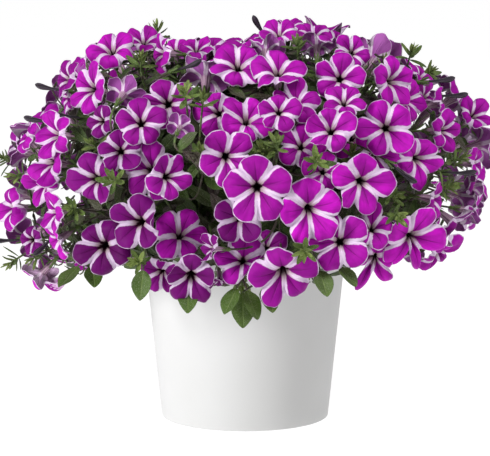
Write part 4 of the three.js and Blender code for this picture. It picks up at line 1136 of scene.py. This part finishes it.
class Plant:
    """Every piece of the plant in the making, with one set of meshes for each stem."""

    def __init__(self, stems):
        self.stems = stems
        self.cad = Frame(stems)
        self.random = np.random.RandomState(2024)
        self.shapes = {stem.node: {slot: Shape() for slot in PIECES} for stem in stems}
        self.blooms = self.planned_blooms()
        self.stalks = []
        self.add_blooms()
        self.add_rim_leaves()
        self.add_buds()
        self.add_own_leaves()
        self.add_shoots()
        for stem in stems:
            path = np.concatenate([[stem.foot], [stem.at(s) for s in np.linspace(0, 1, 18)]])
            radii = np.linspace(STEM["foot_radius"], STEM["tip_radius"], 18)
            tube(self.greens(stem), path, [radii[0], *radii], 10, 0.45, STEM_KIND)
        self.add_leaves()
        self.add_gap_leaves()

    def greens(self, stem):
        return self.shapes[stem.node]["leaf"]

    def planned_blooms(self):
        """The plan's blooms where the frame has them, turned as the photograph shows them."""
        blooms = []
        for bloom, inward in seen_blooms():
            self.cad.seat(bloom, inward)
            # The frame has no room for one of them, which is drawn on the nearest stem.
            bloom.stem = bloom.stem or self.cad.nearest(bloom.tube_end())
            blooms.append(bloom)
        for number, (*shift, turn, lift) in TURNED.items():
            blooms[number].axes = facing_axes(turn, lift)
            blooms[number].centre = blooms[number].centre + shift
        for bloom, inward in hidden_blooms():
            self.cad.seat(bloom, inward)
            if bloom.stem:
                raise_over_hem(bloom)
                blooms.append(bloom)
        return blooms

    def stalk(self, stem, base, way, own=None):
        """Makes a side stalk from a stem to a piece's base, and gives the points that it follows."""
        share = JOINT["first"] + JOINT["step"] * (stem.stalks % JOINT["round"])
        others = [bloom for bloom in self.blooms if bloom is not own]
        for later in JOINT["later"]:
            joint = stem.at(min(JOINT["last"], share + later))
            path = arc(joint, base - way * 0.5 * np.linalg.norm(joint - base), base, 12)
            if not are_above_hem(path):
                path = joint + (base - joint) * np.linspace(0, 1, 12)[:, None]
            if not any(bloom.is_crossed_by(path, CLEARANCE) for bloom in others):
                break
        stem.stalks += 1
        tube(self.greens(stem), path, np.linspace(*STALK_RADII, len(path)), 7, 0.55, STEM_KIND)
        return path

    def find(self, base, way, end, distance=0.0):
        """The first place along a way at which the frame has a piece's end, and that piece's stem."""
        for shift in SHIFTS:
            stem = self.cad.owner(base + way * shift + end, distance)
            if stem:
                return base + way * shift, stem
        return base, None

    def add_blooms(self):
        random = self.random
        for number, bloom in enumerate(self.blooms):
            shape = self.shapes[bloom.stem.node]
            facing = bloom.axes[2] @ heading(0, VIEW["tilt"])
            curl = 0.55 + 0.7 * random.rand() ** 2 + 0.5 * (1 - max(0, facing))
            rings, flat = bloom_rings(bloom, random, curl, bloom_form(number, random))
            shape["petal"].skin(rings, flat, bloom_tone(number, random))
            end, way = bloom.tube_end(), bloom.axes[2]
            calyx(shape["leaf"], end, way, bloom.size, random, 0.5 + 0.2 * random.rand())
            self.stalks.append((bloom.stem, self.stalk(bloom.stem, end - 2.5 * way, way, bloom)))

    def add_rim_leaves(self):
        bend, width = RIM_LEAF["bend"], RIM_LEAF["width"]
        for u, v, turn, lift, length in SEEN_RIM_LEAVES:
            along = heading(turn, lift)
            point, direction = seen_point(u, v)
            axes = axes_along(along, UP)
            root, stem = self.find(point, -direction, np.array([length, 0, -bend * length]) @ axes)
            if stem:
                tone = 0.5 + 0.1 * self.random.rand()
                leaf(self.greens(stem), root, axes, length, width * length, tone, bend=bend, wave=0.5)
                self.stalks.append((stem, self.stalk(stem, root, along)))

    def add_buds(self):
        for u, v, turn, lift in SEEN_BUDS:
            along = heading(turn, lift)
            point, direction = seen_point(u, v)
            length = along * BUD["length"]
            base, stem = self.find(point - length / 2, -direction, length, BUD["tip_radius"])
            if stem:
                closed_bud(self.shapes[stem.node]["bud"], self.greens(stem), base, along, self.random)
                self.stalk(stem, base - 2 * along, along)

    def add_own_leaves(self):
        """Each stem's own broad leaf."""
        size = (LEAF["length"], LEAF["width"])
        for number, stem in enumerate(self.stems):
            found = self.own_leaf_place(stem, number)
            if found:
                tone = 0.3 + 0.2 * self.random.rand()
                leaf(self.greens(stem), *found, *size, tone, bend=LEAF["bend"], wave=0.6)

    def own_leaf_place(self, stem, number):
        """The root and axes of a stem's own broad leaf."""
        end = np.array([LEAF["length"], 0, -LEAF["bend"] * LEAF["length"]])
        for share in LEAF["shares"]:
            point, along = stem.on_path(share)
            for t in range(LEAF["tries"]):
                out = spoke(along, number * GOLDEN_ANGLE + t * 2 * math.pi / LEAF["tries"])
                axes = axes_along(unit(out + along * LEAF["rise"]), along)
                if self.cad.owner(point + end @ axes) is stem:
                    return point, axes
        return None

    def add_shoots(self):
        for number, (place, along, way) in enumerate(growth_places()):
            for size in SHOOT["sizes"]:
                base, stem = self.find(place, way, along * (SHOOT["axis"] + SHOOT["point"] * size))
                if stem:
                    if number >= len(SEEN_SHOOTS):
                        base = under_skyline(base, along, size)
                    tuft(self.greens(stem), base, along, size, self.random)
                    self.stalks.append((stem, self.stalk(stem, base, along)))
                    break

    def add_leaves(self):
        """Leaves up the stems and their side stalks."""
        count = STEM_LEAVES["count"]
        for stem in self.stems:
            for k in range(count):
                share = STEM_LEAVES["first"] + STEM_LEAVES["spread"] * (k + self.random.rand()) / count
                self.try_leaf(stem, stem.at(share), stem.way(share), k, STEM_LEAVES["lengths"])
        for stem, path in self.stalks:
            for k, at in enumerate(STALK_LEAVES["places"]):
                way = unit(path[at + 1] - path[at - 1])
                self.try_leaf(stem, path[at], way, k + 3 * at, STALK_LEAVES["lengths"])

    def try_leaf(self, stem, root, way, number, lengths):
        """One leaf at a place on a stem, turned until it is clear of the blooms."""
        random = self.random
        length = between(random, *lengths)
        width = length * between(random, 0.44, 0.56)
        tone, bend = between(random, 0.15, 0.5), between(random, 0.1, 0.35)
        for t in range(6):
            out = spoke(way, number * GOLDEN_ANGLE + t * math.pi / 3)
            axes = axes_along(unit(out + way * 0.6), way)
            if clear_of(self.blooms, leaf_points(root, axes, length, width, bend)):
                leaf(self.greens(stem), root, axes, length, width, tone, bend=bend, wave=0.5)
                break

    def add_gap_leaves(self):
        """Leaves on short twigs, in layers from the mound's surface inwards, that fill the gaps."""
        ends = [(path[at], stem) for stem, path in self.stalks for at in (2, 5, 8)]
        ends += [(stem.at(k / 8), stem) for stem in self.stems for k in range(3, 9)]
        places = np.array([place for place, _ in ends])
        for count, depth, lengths in GAP_LEAVES:
            for direction in lattice(count, HIDDEN["lowest"], 0.3 + depth):
                goal = mound_point(direction, depth + 0.08 * (self.random.rand() - 0.5))
                self.gap_leaf(goal, mound_normal(mound_point(direction)), lengths, places, ends)

    def gap_leaf(self, goal, normal, lengths, places, ends):
        """A leaf on its own twig from the nearest stem or stalk, where both are clear of the blooms."""
        random = self.random
        side = unit(np.cross(normal, random.rand(3) - 0.5))
        length = between(random, *lengths)
        width = length * between(random, 0.28, 0.48)
        start = goal - side * length * 0.5
        axes = axes_along(unit(side + normal * between(random, 0.1, 0.5)), normal)
        root, stem = ends[int(np.argmin(np.linalg.norm(places - start, axis=1)))]
        path = arc(root, start - axes[0] * 8 - normal * 6, start, 7)
        # Leaves inside the mound get low tones, which paint them darker as shade.
        tone = 0.4 * random.rand()
        if np.linalg.norm(root - start) > TWIG["longest"] or not are_above_hem(path):
            return
        if not clear_of(self.blooms, leaf_points(start, axes, length, width, TWIG["bend"])):
            return
        if any(bloom.is_crossed_by(path, CLEARANCE) for bloom in self.blooms):
            return
        tube(self.greens(stem), path, np.linspace(*TWIG["radii"], len(path)), 6, 0.5, STEM_KIND)
        leaf(self.greens(stem), start, axes, length, width, tone, bend=TWIG["bend"], wave=0.5)


# ---------- The studio ----------

WHITE = (1, 1, 1, 1)
STUDIO = {"radius": 14, "gap": 0.0005, "floor": 0.96, "world": 0.15}
# Each light's place and aim in metres, its width and its power in watts.
LIGHTS = {
    "key": ((-2.45, -1.85, 1.1), (0, 0, 0.2), 1.0, 77),
    "top": ((1.0, -1.2, 2.5), (0.05, 0, 0.3), 1.2, 48),
}


def make_floor():
    look = Look("floor", Roughness=0.9)
    look.set("Base Color", look.mix(look.noise(look.place(), 0.6), rgb(104, 104, 104), rgb(110, 110, 110)))
    look.set("Emission Color", WHITE)
    look.set("Emission Strength", STUDIO["floor"])
    place = (0, 0, -STUDIO["gap"])
    bpy.ops.mesh.primitive_circle_add(vertices=96, radius=STUDIO["radius"], fill_type="NGON", location=place)
    floor = bpy.context.object
    floor.name = "studio_floor"
    floor.data.materials.append(look.material)


def add_light(name, place, aim, size, power):
    data = bpy.data.lights.new(name, "AREA")
    data.shape, data.size, data.energy = "DISK", size, power
    light = bpy.data.objects.new(name, data)
    light.location = place
    light.rotation_euler = (Vector(aim) - Vector(place)).to_track_quat("-Z", "Y").to_euler()
    bpy.context.scene.collection.objects.link(light)


def make_studio():
    make_floor()
    for name, values in LIGHTS.items():
        add_light(name, *values)
    world = bpy.data.worlds.new("studio")
    world.use_nodes = True
    background = world.node_tree.nodes["Background"].inputs
    background["Color"].default_value, background["Strength"].default_value = WHITE, STUDIO["world"]
    bpy.context.scene.world = world
    bpy.context.scene.view_settings.view_transform = "Standard"


def make_camera():
    forward, _, eye = camera_axes()
    data = bpy.data.cameras.new("camera")
    data.sensor_fit, data.sensor_width = "HORIZONTAL", 36
    data.lens = VIEW["focal"] / PICTURE_WIDTH * data.sensor_width
    camera = bpy.data.objects.new("camera", data)
    camera.location = eye / 1000
    camera.rotation_euler = Vector(forward).to_track_quat("-Z", "Y").to_euler()
    bpy.context.scene.collection.objects.link(camera)
    bpy.context.scene.camera = camera


make_camera()
make_studio()
make_pot(pot_look())
make_soil(soil_look())
looks = {"petal": petal_look(), "leaf": leaf_look(), "bud": bud_look()}
stems = [Stem(i, direction) for i, direction in enumerate(lattice(STEM["count"], STEM["lowest"]))]
for node, shapes in Plant(stems).shapes.items():
    for slot, shape in shapes.items():
        if shape.count:
            shape.make(PIECES[slot] + node[-3:], looks[slot], slot, [node])
